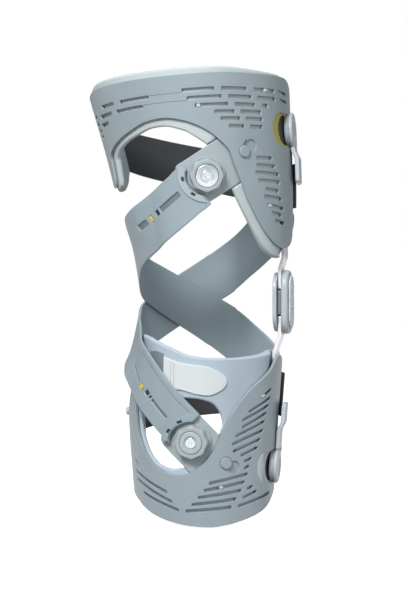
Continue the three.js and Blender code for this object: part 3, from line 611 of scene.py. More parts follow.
# Rings of flat places for the plates
def rounded_box(x0, x1, y0, y1, radius, steps=6):
    """Ring of a rectangle with round corners."""
    ring = []
    for x, y, start in ((x1, y1, 0), (x0, y1, 90), (x0, y0, 180), (x1, y0, 270)):
        middle = (min(max(x, x0 + radius), x1 - radius), min(max(y, y0 + radius), y1 - radius))
        for t in np.radians(np.linspace(start, start + 90, steps + 1)):
            ring.append((middle[0] + radius * math.cos(t), middle[1] + radius * math.sin(t)))
    return ring


def circle(x, y, radius, steps=24):
    turns = np.linspace(0, 2 * math.pi, steps, endpoint=False)
    return [(x + radius * math.cos(t), y + radius * math.sin(t)) for t in turns]


def panel_ring(owner, table, step=0.8):
    """Ring of a panel's outline: angle times the panel's scale across, height up."""
    count = math.ceil((table[-1][0] - table[0][0]) / step)
    angles = np.linspace(table[0][0], table[-1][0], count + 1)
    across = angles * FLAT[owner]
    forth = list(zip(across, read(table, LOW_EDGE, angles)))
    back = list(zip(across, read(table, HIGH_EDGE, angles)))
    return forth + back[::-1]


def slot_ring(owner, slot, width, corner):
    start, end, height, rise = slot
    middle = (start + end) / 2
    local = per_degree(middle, height + rise / 2, SHELL_OUTER + hinge_rise(middle))
    run = (end - start) * local
    length = math.hypot(run, rise)
    ring = []
    for along, side in rounded_box(0, length, -width / 2, width / 2, corner, 4):
        angle = start + (along * run - side * rise) / length / local
        ring.append((angle * FLAT[owner], height + (along * rise + side * run) / length))
    return ring


def spot_ring(owner, angle, height, ring):
    """A small ring, given in millimetres about a spot on a shell."""
    local = per_degree(angle, height, SHELL_OUTER)
    return [((angle + x / local) * FLAT[owner], height + y) for x, y in ring]


def rim_slot(drop, start, end):
    """Row of a slot that follows the thigh shell's top rim."""
    first, last = (read(THIGH_SHELL, HIGH_EDGE, angle) - drop for angle in (start, end))
    return start, end, first, last - first


def over_form(owner, lift):
    """Bends flat places over the form, above the given lift and with the hinge side raised."""
    def place(x, y, z):
        angle = x / FLAT[owner]
        return form_point(angle, y, lift + z + hinge_rise(angle))
    return place


# Materials
# Noises of the moulded surface: scale, detail, output, and its lowest and highest value
SURFACE_NOISES = (
    ("Grain", 3, "Rough", -0.06, 0.06),
    ("Tone", 2, "Shade", 0.0, 1.0),
)
GRAIN_SCALE, TONE_SCALE = 1400, 22
BUMP_DEPTH = 0.0002


def set_inputs(node, **values):
    """Sets a node's inputs, named in small letters with underscores for spaces."""
    for key, value in values.items():
        node.inputs[key.replace("_", " ").title()].default_value = value


def new_node(tree, kind, **values):
    node = tree.nodes.new(kind)
    set_inputs(node, **values)
    return node


def new_material(name, **values):
    material = bpy.data.materials.new(name)
    material.use_nodes = True
    shader = material.node_tree.nodes["Principled BSDF"]
    set_inputs(shader, **values)
    return material, material.node_tree, shader


def worked_out(tree, operation, source, second=0.0):
    """The outcome of a sum on the value of a socket."""
    step = tree.nodes.new("ShaderNodeMath")
    step.operation = operation
    step.inputs[1].default_value = second
    tree.links.new(source, step.inputs[0])
    return step.outputs[0]


def new_group(name, values, outputs):
    """An empty group that takes a vector and some values, with its two end nodes."""
    group = bpy.data.node_groups.new(name, "ShaderNodeTree")
    group.interface.new_socket("Vector", in_out="INPUT", socket_type="NodeSocketVector")
    for value in values:
        group.interface.new_socket(value, in_out="INPUT", socket_type="NodeSocketFloat")
    for output in outputs:
        group.interface.new_socket(output, in_out="OUTPUT", socket_type="NodeSocketFloat")
    return group, group.nodes.new("NodeGroupInput"), group.nodes.new("NodeGroupOutput")


def surface_group():
    """Moulded surface: fine grain for bump and roughness, and slow changes of tone."""
    group, start, end = new_group("Moulded surface", ("Grain", "Tone"), ("Height", "Rough", "Shade"))
    links = group.links
    noises = {}
    for scale, detail, output, low, high in SURFACE_NOISES:
        noise = new_node(group, "ShaderNodeTexNoise", detail=detail)
        links.new(start.outputs["Vector"], noise.inputs["Vector"])
        links.new(start.outputs[scale], noise.inputs["Scale"])
        span = new_node(group, "ShaderNodeMapRange", from_min=0.3, from_max=0.7, to_min=low, to_max=high)
        links.new(noise.outputs["Fac"], span.inputs["Value"])
        links.new(span.outputs["Result"], end.inputs[output])
        noises[scale] = noise
    links.new(noises["Grain"].outputs["Fac"], end.inputs["Height"])
    return group


def weave_group():
    """Plain weave on a UV map in metres: raised threads that pass over and under."""
    group, start, end = new_group("Plain weave", ("Threads",), ("Height",))
    links = group.links
    scaled = group.nodes.new("ShaderNodeVectorMath")
    scaled.operation = "SCALE"
    links.new(start.outputs["Vector"], scaled.inputs[0])
    links.new(start.outputs["Threads"], scaled.inputs["Scale"])
    checker = new_node(group, "ShaderNodeTexChecker", scale=1, color1=(1, 1, 1, 1), color2=(0, 0, 0, 1))
    links.new(scaled.outputs[0], checker.inputs["Vector"])
    parts = group.nodes.new("ShaderNodeSeparateXYZ")
    links.new(scaled.outputs[0], parts.inputs[0])
    mix = group.nodes.new("ShaderNodeMix")
    links.new(checker.outputs["Fac"], mix.inputs["Factor"])
    for axis, thread in (("X", "A"), ("Y", "B")):
        turn = worked_out(group, "MULTIPLY", parts.outputs[axis], math.pi)
        wave = worked_out(group, "SINE", turn)
        links.new(worked_out(group, "ABSOLUTE", wave), mix.inputs[thread])
    links.new(mix.outputs["Result"], end.inputs["Height"])
    return group


SURFACE = surface_group()
WEAVE = weave_group()


def place_effect(tree, group, map_name, **values):
    """Outputs of a group that is placed in a material, on one of the piece's own coordinates."""
    place = tree.nodes.new("ShaderNodeTexCoord")
    effect = tree.nodes.new("ShaderNodeGroup")
    effect.node_tree = group
    set_inputs(effect, **values)
    tree.links.new(place.outputs[map_name], effect.inputs["Vector"])
    return effect.outputs


def colour_into(tree, shader, factor, dark, light):
    colour = tree.nodes.new("ShaderNodeMix")
    colour.data_type = "RGBA"
    set_inputs(colour, a=(*dark, 1), b=(*light, 1))
    tree.links.new(factor, colour.inputs["Factor"])
    tree.links.new(colour.outputs["Result"], shader.inputs["Base Color"])


def bump_into(tree, shader, height, strength):
    bump = new_node(tree, "ShaderNodeBump", strength=strength, distance=BUMP_DEPTH)
    tree.links.new(height, bump.inputs["Height"])
    tree.links.new(bump.outputs["Normal"], shader.inputs["Normal"])


def moulded(name, dark, light, rough, bump=0.25, **values):
    """Moulded plastic, or metal: two close tones, a fine grain and a roughness that varies with it."""
    material, tree, shader = new_material(name, **values)
    effect = place_effect(tree, SURFACE, "Object", grain=GRAIN_SCALE, tone=TONE_SCALE)
    colour_into(tree, shader, effect["Shade"], dark, light)
    level = worked_out(tree, "ADD", effect["Rough"], rough)
    tree.links.new(level, shader.inputs["Roughness"])
    bump_into(tree, shader, effect["Height"], bump)
    return material


def woven(name, dark, light, threads, bump, rough):
    """Cloth: a plain weave that follows the piece's own map, darker between its threads."""
    material, tree, shader = new_material(name, roughness=rough)
    effect = place_effect(tree, WEAVE, "UV", threads=threads)
    colour_into(tree, shader, effect["Height"], dark, light)
    bump_into(tree, shader, effect["Height"], bump)
    return material


# Plastics and metals: the darker and the lighter tone, and the roughness
SHELL_PLASTIC = moulded("shell_plastic", (0.285, 0.35, 0.385), (0.32, 0.385, 0.42), 0.44)
# Dark grey for painted shade: fine moulded grooves on the thigh shell and the lower strap
GROOVE_SHADE_GREY = moulded("groove_shade_grey", (0.15, 0.18, 0.2), (0.18, 0.21, 0.23), 0.5)
STRAP_PLASTIC = moulded("strap_plastic", (0.275, 0.347, 0.385), (0.305, 0.377, 0.415), 0.48)
# A lighter copy of the strap plastic: painted light on the upper hook's raised ridge
HOOK_PAINTED_LIGHT = moulded("hook_painted_light", (0.36, 0.42, 0.46), (0.4, 0.46, 0.5), 0.42)
# Darker than the strap: painted shade on the floors of its pockets
POCKET_SHADE_GREY = moulded("pocket_painted_shade", (0.13, 0.16, 0.175), (0.17, 0.2, 0.215), 0.55)
TONGUE_PLASTIC = moulded("tongue_plastic", (0.34, 0.4, 0.425), (0.37, 0.43, 0.455), 0.5)
DIAL_PLASTIC = moulded("dial_plastic", (0.36, 0.42, 0.44), (0.4, 0.46, 0.48), 0.4)
CAP_GREY = moulded("cap_grey", (0.42, 0.47, 0.51), (0.46, 0.51, 0.55), 0.38)
FASTENER_PLASTIC = moulded("fastener_plastic", (0.47, 0.53, 0.57), (0.51, 0.57, 0.61), 0.42)
# A pale copy of the hinge plastic: painted highlight on the hinge cover's panel and ribs
PANEL_PAINTED_HIGHLIGHT = moulded("panel_painted_highlight", (0.68, 0.75, 0.8), (0.74, 0.81, 0.86), 0.38)
MARKER_YELLOW = moulded("marker_yellow", (0.62, 0.46, 0.07), (0.7, 0.54, 0.1), 0.45)
KEYHOLE_YELLOW = moulded("keyhole_yellow", (0.4, 0.35, 0.05), (0.48, 0.42, 0.08), 0.5)
KEYHOLE_BLUE = moulded("keyhole_blue", (0.02, 0.03, 0.05), (0.03, 0.045, 0.07), 0.5)
PIN_WHITE = moulded("pin_white", (0.5, 0.54, 0.57), (0.56, 0.6, 0.63), 0.45)
# Near black for painted shade: floors of holes, openings and keyholes, and the dark gaps beside the studs
PAINTED_SHADE_BLACK = moulded("painted_shade_black", (0.012, 0.013, 0.014), (0.02, 0.021, 0.022), 0.6)
CORE_GREY = moulded("core_grey", (0.16, 0.17, 0.18), (0.2, 0.21, 0.22), 0.5)
HINGE_PLASTIC = moulded("hinge_plastic", (0.41, 0.465, 0.51), (0.45, 0.505, 0.55), 0.38)
BAR_METAL = moulded("bar_metal", (0.77, 0.755, 0.78), (0.84, 0.825, 0.85), 0.36, 0.05, metallic=0.3)
DIAL_METAL = moulded("dial_metal", (0.5, 0.53, 0.55), (0.58, 0.61, 0.63), 0.32, 0.012, metallic=0.85)
# Cloths: the tone between the threads and on them, the threads to a metre, the bump and the roughness
THIGH_FOAM = woven("thigh_foam", (0.5, 0.57, 0.59), (0.58, 0.65, 0.67), 1100, 0.35, 0.85)
CALF_FOAM = woven("calf_foam", (0.44, 0.53, 0.61), (0.51, 0.6, 0.68), 1100, 0.35, 0.85)
TAB_CLOTH = woven("tab_cloth", (0.7, 0.76, 0.78), (0.78, 0.84, 0.86), 1300, 0.3, 0.9)
RIB_CLOTH = woven("rib_cloth", (0.5, 0.55, 0.58), (0.56, 0.61, 0.64), 1300, 0.3, 0.9)
PATCH_CLOTH = woven("patch_cloth", (0.2, 0.23, 0.25), (0.26, 0.29, 0.31), 1200, 0.3, 0.9)
STRAP_CLOTH = woven("strap_cloth", (0.035, 0.038, 0.042), (0.07, 0.075, 0.08), 900, 0.6, 0.85)

# Shells
SHELLS = {"thigh": THIGH_SHELL, "calf": CALF_SHELL}
RIM_SLOT_ROWS = [rim_slot(*row) for row in RIM_SLOTS]
SLOTS = {"thigh": (*RIM_SLOT_ROWS, *THIGH_SLOTS), "calf": CALF_SLOTS}
SLOT_CORNER = {"thigh": 0.5, "calf": 1.1}
# Fine moulded lines on the thigh shell, drawn as dark strips of painted shade: below the rim, from and to
# an angle
RIM_LINES = {"upper": (14, -18, -1.5), "lower": (20.5, -22, 1.5)}
LINE_WIDTH, LINE_DEPTH = 0.55, 0.2
# Keyholes as slots, and studs with the pocket beside each: angle, height, the pocket's angle and height
KEYHOLES = {"thigh": (64.5, 104, 138, 0), "calf": (67, 107, -132.5, 0)}
KEYHOLE_WIDTH = 26.5
STUDS = {"thigh": (40.5, 118.8, 46, 123.4), "calf": (30.5, -127.4, 38, -131)}
STUD_RADIUS, RECESS_RADIUS, RECESS_DEPTH, RECESS_PLAY = 4.8, 5, 1.2, 0.06


def recess_ring(owner, grow):
    """Ring of the shallow pocket beside a stud."""
    angle, height = STUDS[owner][2:]
    return spot_ring(owner, angle, height, circle(0, 0, RECESS_RADIUS + grow))


def shell(owner):
    rings = [panel_ring(owner, SHELLS[owner])]
    rings += [slot_ring(owner, slot, SLOT_WIDTH[owner], SLOT_CORNER[owner]) for slot in SLOTS[owner]]
    rings.append(slot_ring(owner, KEYHOLES[owner], KEYHOLE_WIDTH, KEYHOLE_WIDTH / 2))
    rings.append(recess_ring(owner, 0))
    place = over_form(owner, SHELL_INNER)
    obj = plate(f"{owner}_shell_wall", rings, place, SHELL_WALL, edge=0.45, pitch=SHELL_CELLS)
    dress(obj, SHELL_PLASTIC, nodes=(f"{owner}_shell",))


def recess_floor(owner):
    ring = recess_ring(owner, -RECESS_PLAY)
    place = over_form(owner, SHELL_INNER)
    wall = SHELL_WALL - RECESS_DEPTH
    obj = plate(f"{owner}_stud_recess", [ring], place, wall, edge=0.1, pitch=SHELL_CELLS)
    dress(obj, SHELL_PLASTIC)


# A dark strip on the thigh shell: painted shade of a fine moulded groove
def rim_line_shade(name):
    ring = slot_ring("thigh", rim_slot(*RIM_LINES[name]), LINE_WIDTH, corner=0.2)
    place = over_form("thigh", SHELL_OUTER - LINE_DEPTH)
    obj = plate(f"thigh_line_{name}", [ring], place, wall=0.3, edge=0.1, pitch=SHELL_CELLS)
    dress(obj, GROOVE_SHADE_GREY)


for owner in SHELLS:
    shell(owner)
for owner in SHELLS:
    recess_floor(owner)
for name in RIM_LINES:
    rim_line_shade(name)

# Dials: angle, height and the way the strap leaves, as a turn from the hinge side upwards
DIALS = {"upper": (14, 99.7, 212), "lower": (1.5, -110.5, 134)}
# Tongues from their dials, and the pockets in the pads that they lie in
TONGUE_BACK, TONGUE_FRONT, TONGUE_HALF, TONGUE_LIP = -30, 15, 19, 3
TONGUE_POCKET = 2.2
POCKET_STEPS = (0.3, 0.8, 1.3)


def dial_place(dial):
    angle, height, way = DIALS[dial]
    return angle, height, math.radians(way), per_degree(angle, height, TONGUE_OUTER)


def dial_seat(dial, lift):
    return seat(*DIALS[dial][:2], lift)


def tongue_point(dial, along, side, lift):
    angle, height, way, scale = dial_place(dial)
    across = along * math.cos(way) - side * math.sin(way)
    up = along * math.sin(way) + side * math.cos(way)
    return form_point(angle + across / scale, height + up, lift)


def from_dial(dial, angle, height):
    """How far a place is from a dial, along its strap and to the side."""
    spot, level, way, scale = dial_place(dial)
    across, up = (angle - spot) * scale, height - level
    return across * math.cos(way) + up * math.sin(way), up * math.cos(way) - across * math.sin(way)


# Pads, with a pocket for each tongue and room for the hinge bars and the back straps
LINERS = {"thigh": (THIGH_LINER,), "calf": (CALF_LINER, CALF_WINDOW)}
PAD_DIALS = {"thigh": "upper", "calf": "lower"}
PAD_FINISH = {"thigh": THIGH_FOAM, "calf": CALF_FOAM}
PAD_SWELL = {"thigh": 1, "calf": 0.8}
# Room for a hinge bar: the height past its tip and the way there, the angles at its front, and the slopes
BAR_TIPS = {"thigh": (118, 1), "calf": (-103, -1)}
BAR_LAYER, BAR_LAYER_FROM, BAR_FRONT = 4.5, 76, 80
TIP_SLOPE, FRONT_SLOPE = 8, 6
# Room round a keyhole and a back strap: the gap that stays, and the slope
KEYHOLE_GAP, KEYHOLE_SLOPE = 0.5, 4
STRAP_ROOM, STRAP_ROOM_SLOPE, STRAP_GAP = 1, 5, 0.3


def pocket_folds(owner):
    """Lines of cells round a tongue's pocket."""
    angle, height, way, local = dial_place(PAD_DIALS[owner])
    lines = []
    for beyond in POCKET_STEPS:
        for distance, turn in (
            (TONGUE_FRONT + beyond, way),
            (TONGUE_BACK - beyond, way),
            (TONGUE_HALF + beyond, way + math.pi / 2),
            (-TONGUE_HALF - beyond, way + math.pi / 2),
        ):
            across, up = distance * math.cos(turn), distance * math.sin(turn)
            spot = ((angle + across / local) * FLAT[owner], height + up, 0)
            normal = (local * math.cos(turn) / FLAT[owner], math.sin(turn), 0)
            lines.append((spot, normal))
    return lines


def pad_swell(owner, angle, height):
    """How far a pad swells towards the raised shell, clear of the hinge bars and of the keyhole."""
    start, end, level, _ = KEYHOLES[owner]
    radius = KEYHOLE_WIDTH / 2
    local = per_degree((start + end) / 2, level, SHELL_OUTER + HINGE_RISE)
    beyond_ends = np.maximum(start + radius / local - angle, angle - end + radius / local)
    beyond_keyhole = np.hypot(np.maximum(beyond_ends, 0) * local, height - level) - radius
    tip, way = BAR_TIPS[owner]
    clear = np.maximum(ease((height - tip) * way / TIP_SLOPE), ease((BAR_FRONT - angle) / FRONT_SLOPE))
    clear = clear * ease((beyond_keyhole - KEYHOLE_GAP) / KEYHOLE_SLOPE)
    return PAD_SWELL[owner] * hinge_rise(angle) * clear


def strap_cover(owner, angle, height):
    """One where a back strap's end lies on the pad, nought away from it."""
    route = BACK_ROUTES[owner]
    aside = np.abs(height - read(route, HEIGHT, -angle)) - BACK_STRAP_WIDTH / 2
    return 1 - ease((np.maximum(aside, route[0][0] + angle) - STRAP_ROOM) / STRAP_ROOM_SLOPE)


def pad(owner):
    outer = PAD_OUTER[owner]
    wall = outer - PAD_INNER
    pocket_edge, pocket_slope = POCKET_STEPS[0], POCKET_STEPS[-1] - POCKET_STEPS[0]

    def place(x, y, z):
        angle = x / FLAT[owner]
        along, side = from_dial(PAD_DIALS[owner], angle, y)
        beyond_ends = np.maximum(along - TONGUE_FRONT, TONGUE_BACK - along)
        beyond = np.maximum(beyond_ends, np.abs(side) - TONGUE_HALF)
        top = outer + (BAR_LAYER - outer) * ease((angle - BAR_LAYER_FROM) / FRONT_SLOPE)
        top += pad_swell(owner, angle, y)
        top += (TONGUE_POCKET - top) * (1 - ease((beyond - pocket_edge) / pocket_slope))
        under_strap = read(BACK_ROUTES[owner], LIFT, -angle) - STRAP_GAP
        top += (under_strap - top) * strap_cover(owner, angle, y)
        return form_point(angle, y, PAD_INNER + z * (top - PAD_INNER) / wall)

    rings = [panel_ring(owner, table) for table in LINERS[owner]]
    obj = plate(f"{owner}_pad", rings, place, wall, edge=1.9, pitch=SHELL_CELLS, edge_steps=4,
                folds=pocket_folds(owner))
    dress(obj, PAD_FINISH[owner], nodes=(f"{owner}_liner",))


# Closing tab of the calf pad, with its ribs, as angle, foot and top, and the band beside it
TAB_LIFT, BAND_LIFT = 4.6, 4.5
TAB_RIBS = ((-16.2, -67, -47), (-13.4, -67.5, -47.5))
RIB_HALF, RIB_LIFT = 0.35, 0.9
CALF_TAB_BAND = (
    (-41, -47, -39),
    (-34, -56, -38.6),
    (-24.6, -66, -40.6),
)


def tab_plate():
    ring = panel_ring("calf", CALF_TAB)
    obj = plate("calf_tab_cloth", [ring], over_form("calf", TAB_LIFT), wall=1.2, edge=0.5)
    dress(obj, TAB_CLOTH, nodes=("calf_liner_tab",))
    for i, (angle, foot, top) in enumerate(TAB_RIBS):
        x = angle * FLAT["calf"]
        strip = rounded_box(x - RIB_HALF, x + RIB_HALF, foot, top, radius=0.3, steps=2)
        place = over_form("calf", TAB_LIFT + RIB_LIFT)
        rib = plate(f"calf_tab_rib_{i}", [strip], place, wall=0.5, edge=0.2)
        dress(rib, RIB_CLOTH)


def tab_band():
    ring = panel_ring("calf", CALF_TAB_BAND)
    obj = plate("calf_tab_band", [ring], over_form("calf", BAND_LIFT), wall=0.9, edge=0.3)
    dress(obj, PATCH_CLOTH)


for owner in LINERS:
    pad(owner)
tab_plate()
tab_band()

# Dials on their tongues: profiles of radius and height
DIAL_BASE = (
    (0, -0.6),
    (15, -0.6),
    (15, 0.2),
    (14.6, 0.6),
    (0, 0.6),
)
KNOB = (
    (0, 3.7),
    (4.3, 3.7),
    (4.3, 0.3),
    (13.4, 0.3),
    (14, 1.2),
    (14, 3.2),
    (13.9, 3.8),
    (13.8, 5.8),
    (13.2, 7.5),
    (12, 8.2),
    (9.3, 8.2),
    (9.3, 7),
    (0, 7),
)
CAP = (
    (0, 7.3),
    (9, 7.3),
    (9, 8.3),
    (8.4, 8.8),
    (5.4, 9.0),
    (5.3, 8.0),
    (0, 8.0),
)
CAP_BUTTON = (
    (0, 7.8),
    (4.3, 7.8),
    (4.3, 8.8),
    (3.8, 9.1),
    (1.4, 9.1),
    (1.0, 8.8),
    (0, 8.8),
)
CAP_FINISH = {"upper": DIAL_METAL, "lower": CAP_GREY}


def tongue(dial):
    ring = rounded_box(TONGUE_BACK, TONGUE_FRONT + TONGUE_LIP, -TONGUE_HALF, TONGUE_HALF, radius=4)

    def place(x, y, z):
        return tongue_point(dial, x, y, TONGUE_INNER + z)

    wall = TONGUE_OUTER - TONGUE_INNER
    obj = plate(f"{dial}_tongue_plate", [ring], place, wall, edge=0.7, edge_steps=3)
    dress(obj, TONGUE_PLASTIC, nodes=(f"{dial}_tongue",))
    base = turned(f"{dial}_tongue_base", DIAL_BASE, dial_seat(dial, TONGUE_OUTER), steps=64, edge=0.2)
    dress(base, TONGUE_PLASTIC)


def dial_knob(dial):
    body = f"{dial}_dial"
    place = dial_seat(dial, DIAL_LIFT)
    knob = turned(f"{dial}_dial_grip", KNOB, place, steps=96, edge=0.35, lobes=8, lobe_depth=1.0)
    dress(knob, DIAL_PLASTIC, body, (f"{dial}_dial_knob",))
    cap = turned(f"{dial}_dial_disc", CAP, place, steps=72, edge=0.2)
    dress(cap, CAP_FINISH[dial], body, (f"{dial}_dial_cap",))
    button = turned(f"{dial}_dial_button", CAP_BUTTON, place, steps=48, edge=0.2)
    dress(button, DIAL_METAL, body)


for dial in DIALS:
    tongue(dial)
    dial_knob(dial)

# Force straps: flat millimetres to a degree, the seam at the dial, and the far end in degrees travelled
STRAP_FLAT = 1.1
SEAM, SEAM_SLANT = 10.4, -0.06
SEAM_SEARCH = np.linspace(-25, 30, 221)
PLACE_ROUNDS, PLACE_PROBE = 12, 0.5
STRAP_ENDS = {"upper": 224, "lower": 233}
END_RADIUS, NOTCH_RADIUS = 9, 15.8
# Hook round a dial: radii, turns from and to, its mouth's turn, and its two openings
HOOK_INNER, HOOK_OUTER = 16.3, 21.4
HOOK_TURNS = {"upper": (-57, 57), "lower": (-57, 44)}
HOOK_MOUTH = 46
# Upper hook painted lighter for the light its raised ridge catches; the lower hook is in the strap's own
# plastic
HOOK_MATERIALS = {"upper": HOOK_PAINTED_LIGHT, "lower": STRAP_PLASTIC}
OPENING_TURNS = {"upper": 23, "lower": 17}
OPENING_HALF, OPENING_INNER, OPENING_OUTER = 5.5, 17.1, 19
HOOK_WALL, OPENING_WALL = 1.5, 0.5
HOOK_SUNK, LINE_SUNK = 0.3, 0.2
# Marks: from and to in degrees travelled, the distance below the strap's middle, and the width
MARKS = {
    "upper": {
        "pockets": ((2.8, 17, -3.2, 4.2), (30.8, 39.7, -3.7, 4.2)),
        "black": ((18.6, 21.2, -3.4, 4.2),),
        "yellow": (25.1, 27.4, -3.4, 4.6),
    },
    "lower": {
        "pockets": ((16.4, 28.6, 2, 2), (41, 51.8, 5, 2)),
        "black": ((31.5, 34.3, 2.6, 3.8), (29.2, 30.6, 2.2, 3)),
        "yellow": (36.4, 38.8, 4, 3.8),
    },
}
MARK_FOOT, MARK_FLOOR, MARK_TOP = 0.4, 0.8, STRAP_WALL + 0.2
MARK_MARGIN, MARK_GAP = 0.9, 0.08
# Lower edge of each strap: degrees travelled, and distance below the strap's middle
STRAP_EDGES = {
    "upper": ((0, 19), (60, 19)),
    "lower": ((4, 15.6), (30, 16), (52, 18), (75, 19)),
}
# Groove of the lower strap, drawn as a dark strip of painted shade: from and to in degrees travelled,
# distance below its middle, and half width
GROOVE = (9, 52, -14.4, 0.3)


def strap_place(dial, along, side):
    """Where places given from a dial lie on its strap: degrees travelled, and side of the middle."""
    route = FORCE_ROUTES[dial]
    target = tongue_point(dial, along, side, route[0][LIFT])
    travelled = np.full(len(along), -float(DIALS[dial][0]))
    across = np.zeros(len(along))
    for _ in range(PLACE_ROUNDS):
        here = strap_point(route, travelled, across, 0)
        forth = strap_point(route, travelled + PLACE_PROBE, across, 0) - here
        aside = strap_point(route, travelled, across + PLACE_PROBE, 0) - here
        off = target - here
        a, b, c = (np.sum(u * v, axis=-1) for u, v in ((forth, forth), (forth, aside), (aside, aside)))
        p, q = (np.sum(u * off, axis=-1) for u in (forth, aside))
        whole = a * c - b * b
        travelled = travelled + PLACE_PROBE * (p * c - q * b) / whole
        across = across + PLACE_PROBE * (q * a - p * b) / whole
    return travelled, across


def edge_start(dial, across):
    """Flat place where an edge of a strap meets the seam at its dial."""
    sides = np.full(len(SEAM_SEARCH), float(across))
    angle, height, _ = strap_spot(FORCE_ROUTES[dial], SEAM_SEARCH, sides)
    along, side = from_dial(dial, angle, height)
    return np.interp(0, along - SEAM - SEAM_SLANT * side, SEAM_SEARCH) * STRAP_FLAT, across


def polar_ring(dial, spots):
    """Flat ring on a strap through spots given as a radius from its dial and a turn."""
    radius, turn = np.array(spots, float).T
    turn = np.radians(turn)
    travelled, across = strap_place(dial, radius * np.cos(turn), radius * np.sin(turn))
    return list(zip(travelled * STRAP_FLAT, across))


def near_end(dial):
    """Flat contour of a strap's end at its dial: a seam with a round notch."""
    reach = math.degrees(math.acos(SEAM / NOTCH_RADIUS))
    notch = polar_ring(dial, [(NOTCH_RADIUS, turn) for turn in np.linspace(-reach, reach, 25)])
    upper = edge_start(dial, -STRAP_WIDTH / 2)
    lower = edge_start(dial, STRAP_EDGES[dial][0][1])
    return [upper, *sorted(notch, key=lambda spot: spot[1]), lower]


def far_end(dial):
    """Flat contour of a strap's other end, with round corners."""
    middle = STRAP_ENDS[dial] * STRAP_FLAT - END_RADIUS
    half = STRAP_WIDTH / 2 - END_RADIUS
    turns = np.linspace(0, math.pi / 2, 9)
    bend = [(middle + END_RADIUS * math.sin(t), half + END_RADIUS * math.cos(t)) for t in turns]
    return bend + [(along, -side) for along, side in bend[::-1]]


def on_strap(route, lift, scale=STRAP_FLAT):
    def place(x, y, z):
        return strap_point(route, x / scale, y, lift + z)
    return place


def mark_ring(mark, shrink):
    start, end, side, width = mark
    half = width / 2 - shrink
    x0, x1 = start * STRAP_FLAT + shrink, end * STRAP_FLAT - shrink
    return rounded_box(x0, x1, side - half, side + half, radius=0.4, steps=2)


# A dark floor under a hole in a strap: its colour is painted shade
def mark_floor(name, dial, mark, material):
    ring = mark_ring(mark, -MARK_MARGIN)
    place = on_strap(FORCE_ROUTES[dial], MARK_FOOT)
    obj = plate(name, [ring], place, MARK_FLOOR - MARK_FOOT, edge=0.1, pitch=SMALL_CELLS)
    dress(obj, material)


def setting_mark(dial):
    """The yellow mark that stands in its hole."""
    ring = mark_ring(MARKS[dial]["yellow"], MARK_GAP)
    place = on_strap(FORCE_ROUTES[dial], MARK_FLOOR)
    obj = plate(f"{dial}_strap_yellow", [ring], place, MARK_TOP - MARK_FLOOR, edge=0.1, pitch=SMALL_CELLS)
    dress(obj, MARKER_YELLOW, nodes=(f"{dial}_strap_marker",))


def strap_hook(dial):
    """The raised hook at a strap's end, round its dial, with two openings floored in painted shade; the
    upper hook is painted lighter for the light its ridge catches.
    """
    route = FORCE_ROUTES[dial]
    first, last = HOOK_TURNS[dial]
    outline = [(HOOK_OUTER, turn) for turn in np.linspace(first, last, 41)]
    outline += [(HOOK_INNER, turn) for turn in np.linspace(min(last, HOOK_MOUTH), -HOOK_MOUTH, 31)]
    rings = [polar_ring(dial, outline)]
    for i, way in enumerate((-1, 1)):
        middle = way * OPENING_TURNS[dial]
        turns = np.linspace(middle - OPENING_HALF, middle + OPENING_HALF, 5)
        hole = [(OPENING_OUTER, turn) for turn in turns] + [(OPENING_INNER, turn) for turn in turns[::-1]]
        rings.append(polar_ring(dial, hole))
        # Black floors in the hook's openings: painted shade
        place = on_strap(route, STRAP_WALL - LINE_SUNK)
        floor = plate(f"{dial}_strap_opening_shade_{i}", [rings[-1]], place, OPENING_WALL, 0.1, SMALL_CELLS)
        dress(floor, PAINTED_SHADE_BLACK)
    place = on_strap(route, STRAP_WALL - HOOK_SUNK)
    obj = plate(f"{dial}_strap_hook", rings, place, HOOK_WALL, 0.4, SMALL_CELLS, edge_steps=3)
    dress(obj, HOOK_MATERIALS[dial])


def force_strap(dial):
    marks = MARKS[dial]
    edge = [(travelled * STRAP_FLAT, side) for travelled, side in STRAP_EDGES[dial][1:]]
    rings = [near_end(dial) + edge + far_end(dial)]
    rings += [mark_ring(mark, 0) for mark in (*marks["pockets"], *marks["black"], marks["yellow"])]
    place = on_strap(FORCE_ROUTES[dial], 0)
    obj = plate(f"{dial}_force_strap_band", rings, place, STRAP_WALL, 1.0, STRAP_CELLS, edge_steps=4)
    dress(obj, STRAP_PLASTIC, nodes=(f"{dial}_force_strap",))
    # Pocket floors in dark grey and the black holes' floors in black: painted shade in the strap's holes
    for i, mark in enumerate((*marks["pockets"], marks["yellow"])):
        mark_floor(f"{dial}_strap_pocket_{i}", dial, mark, POCKET_SHADE_GREY)
    for i, mark in enumerate(marks["black"]):
        mark_floor(f"{dial}_strap_black_{i}", dial, mark, PAINTED_SHADE_BLACK)
    setting_mark(dial)
    strap_hook(dial)


def strap_groove_shade():
    """A dark strip along the lower strap's raised border: painted shade of a fine groove."""
    start, end, side, half = GROOVE
    x0, x1 = start * STRAP_FLAT, end * STRAP_FLAT
    ring = rounded_box(x0, x1, side - half, side + half, radius=0.25, steps=2)
    place = on_strap(LOWER_FORCE_ROUTE, STRAP_WALL - LINE_SUNK)
    obj = plate("lower_strap_groove", [ring], place, wall=0.3, edge=0.1, pitch=STRAP_CELLS)
    dress(obj, GROOVE_SHADE_GREY)


for dial in DIALS:
    force_strap(dial)
strap_groove_shade()

# Back straps with their rivets, whose profile is radius and height
BACK_FLAT = {"thigh": 1.4, "calf": 1.1}
RIVETS = {"thigh": (-98, 130.5), "calf": (-86, -89.7)}
RIVET = ((0, -2.6), (1.6, -2.6), (1.6, 0), (3.4, 0), (3.4, 1.6), (2.4, 2.6), (0, 2.6))
SEAT_GAP = 0.3


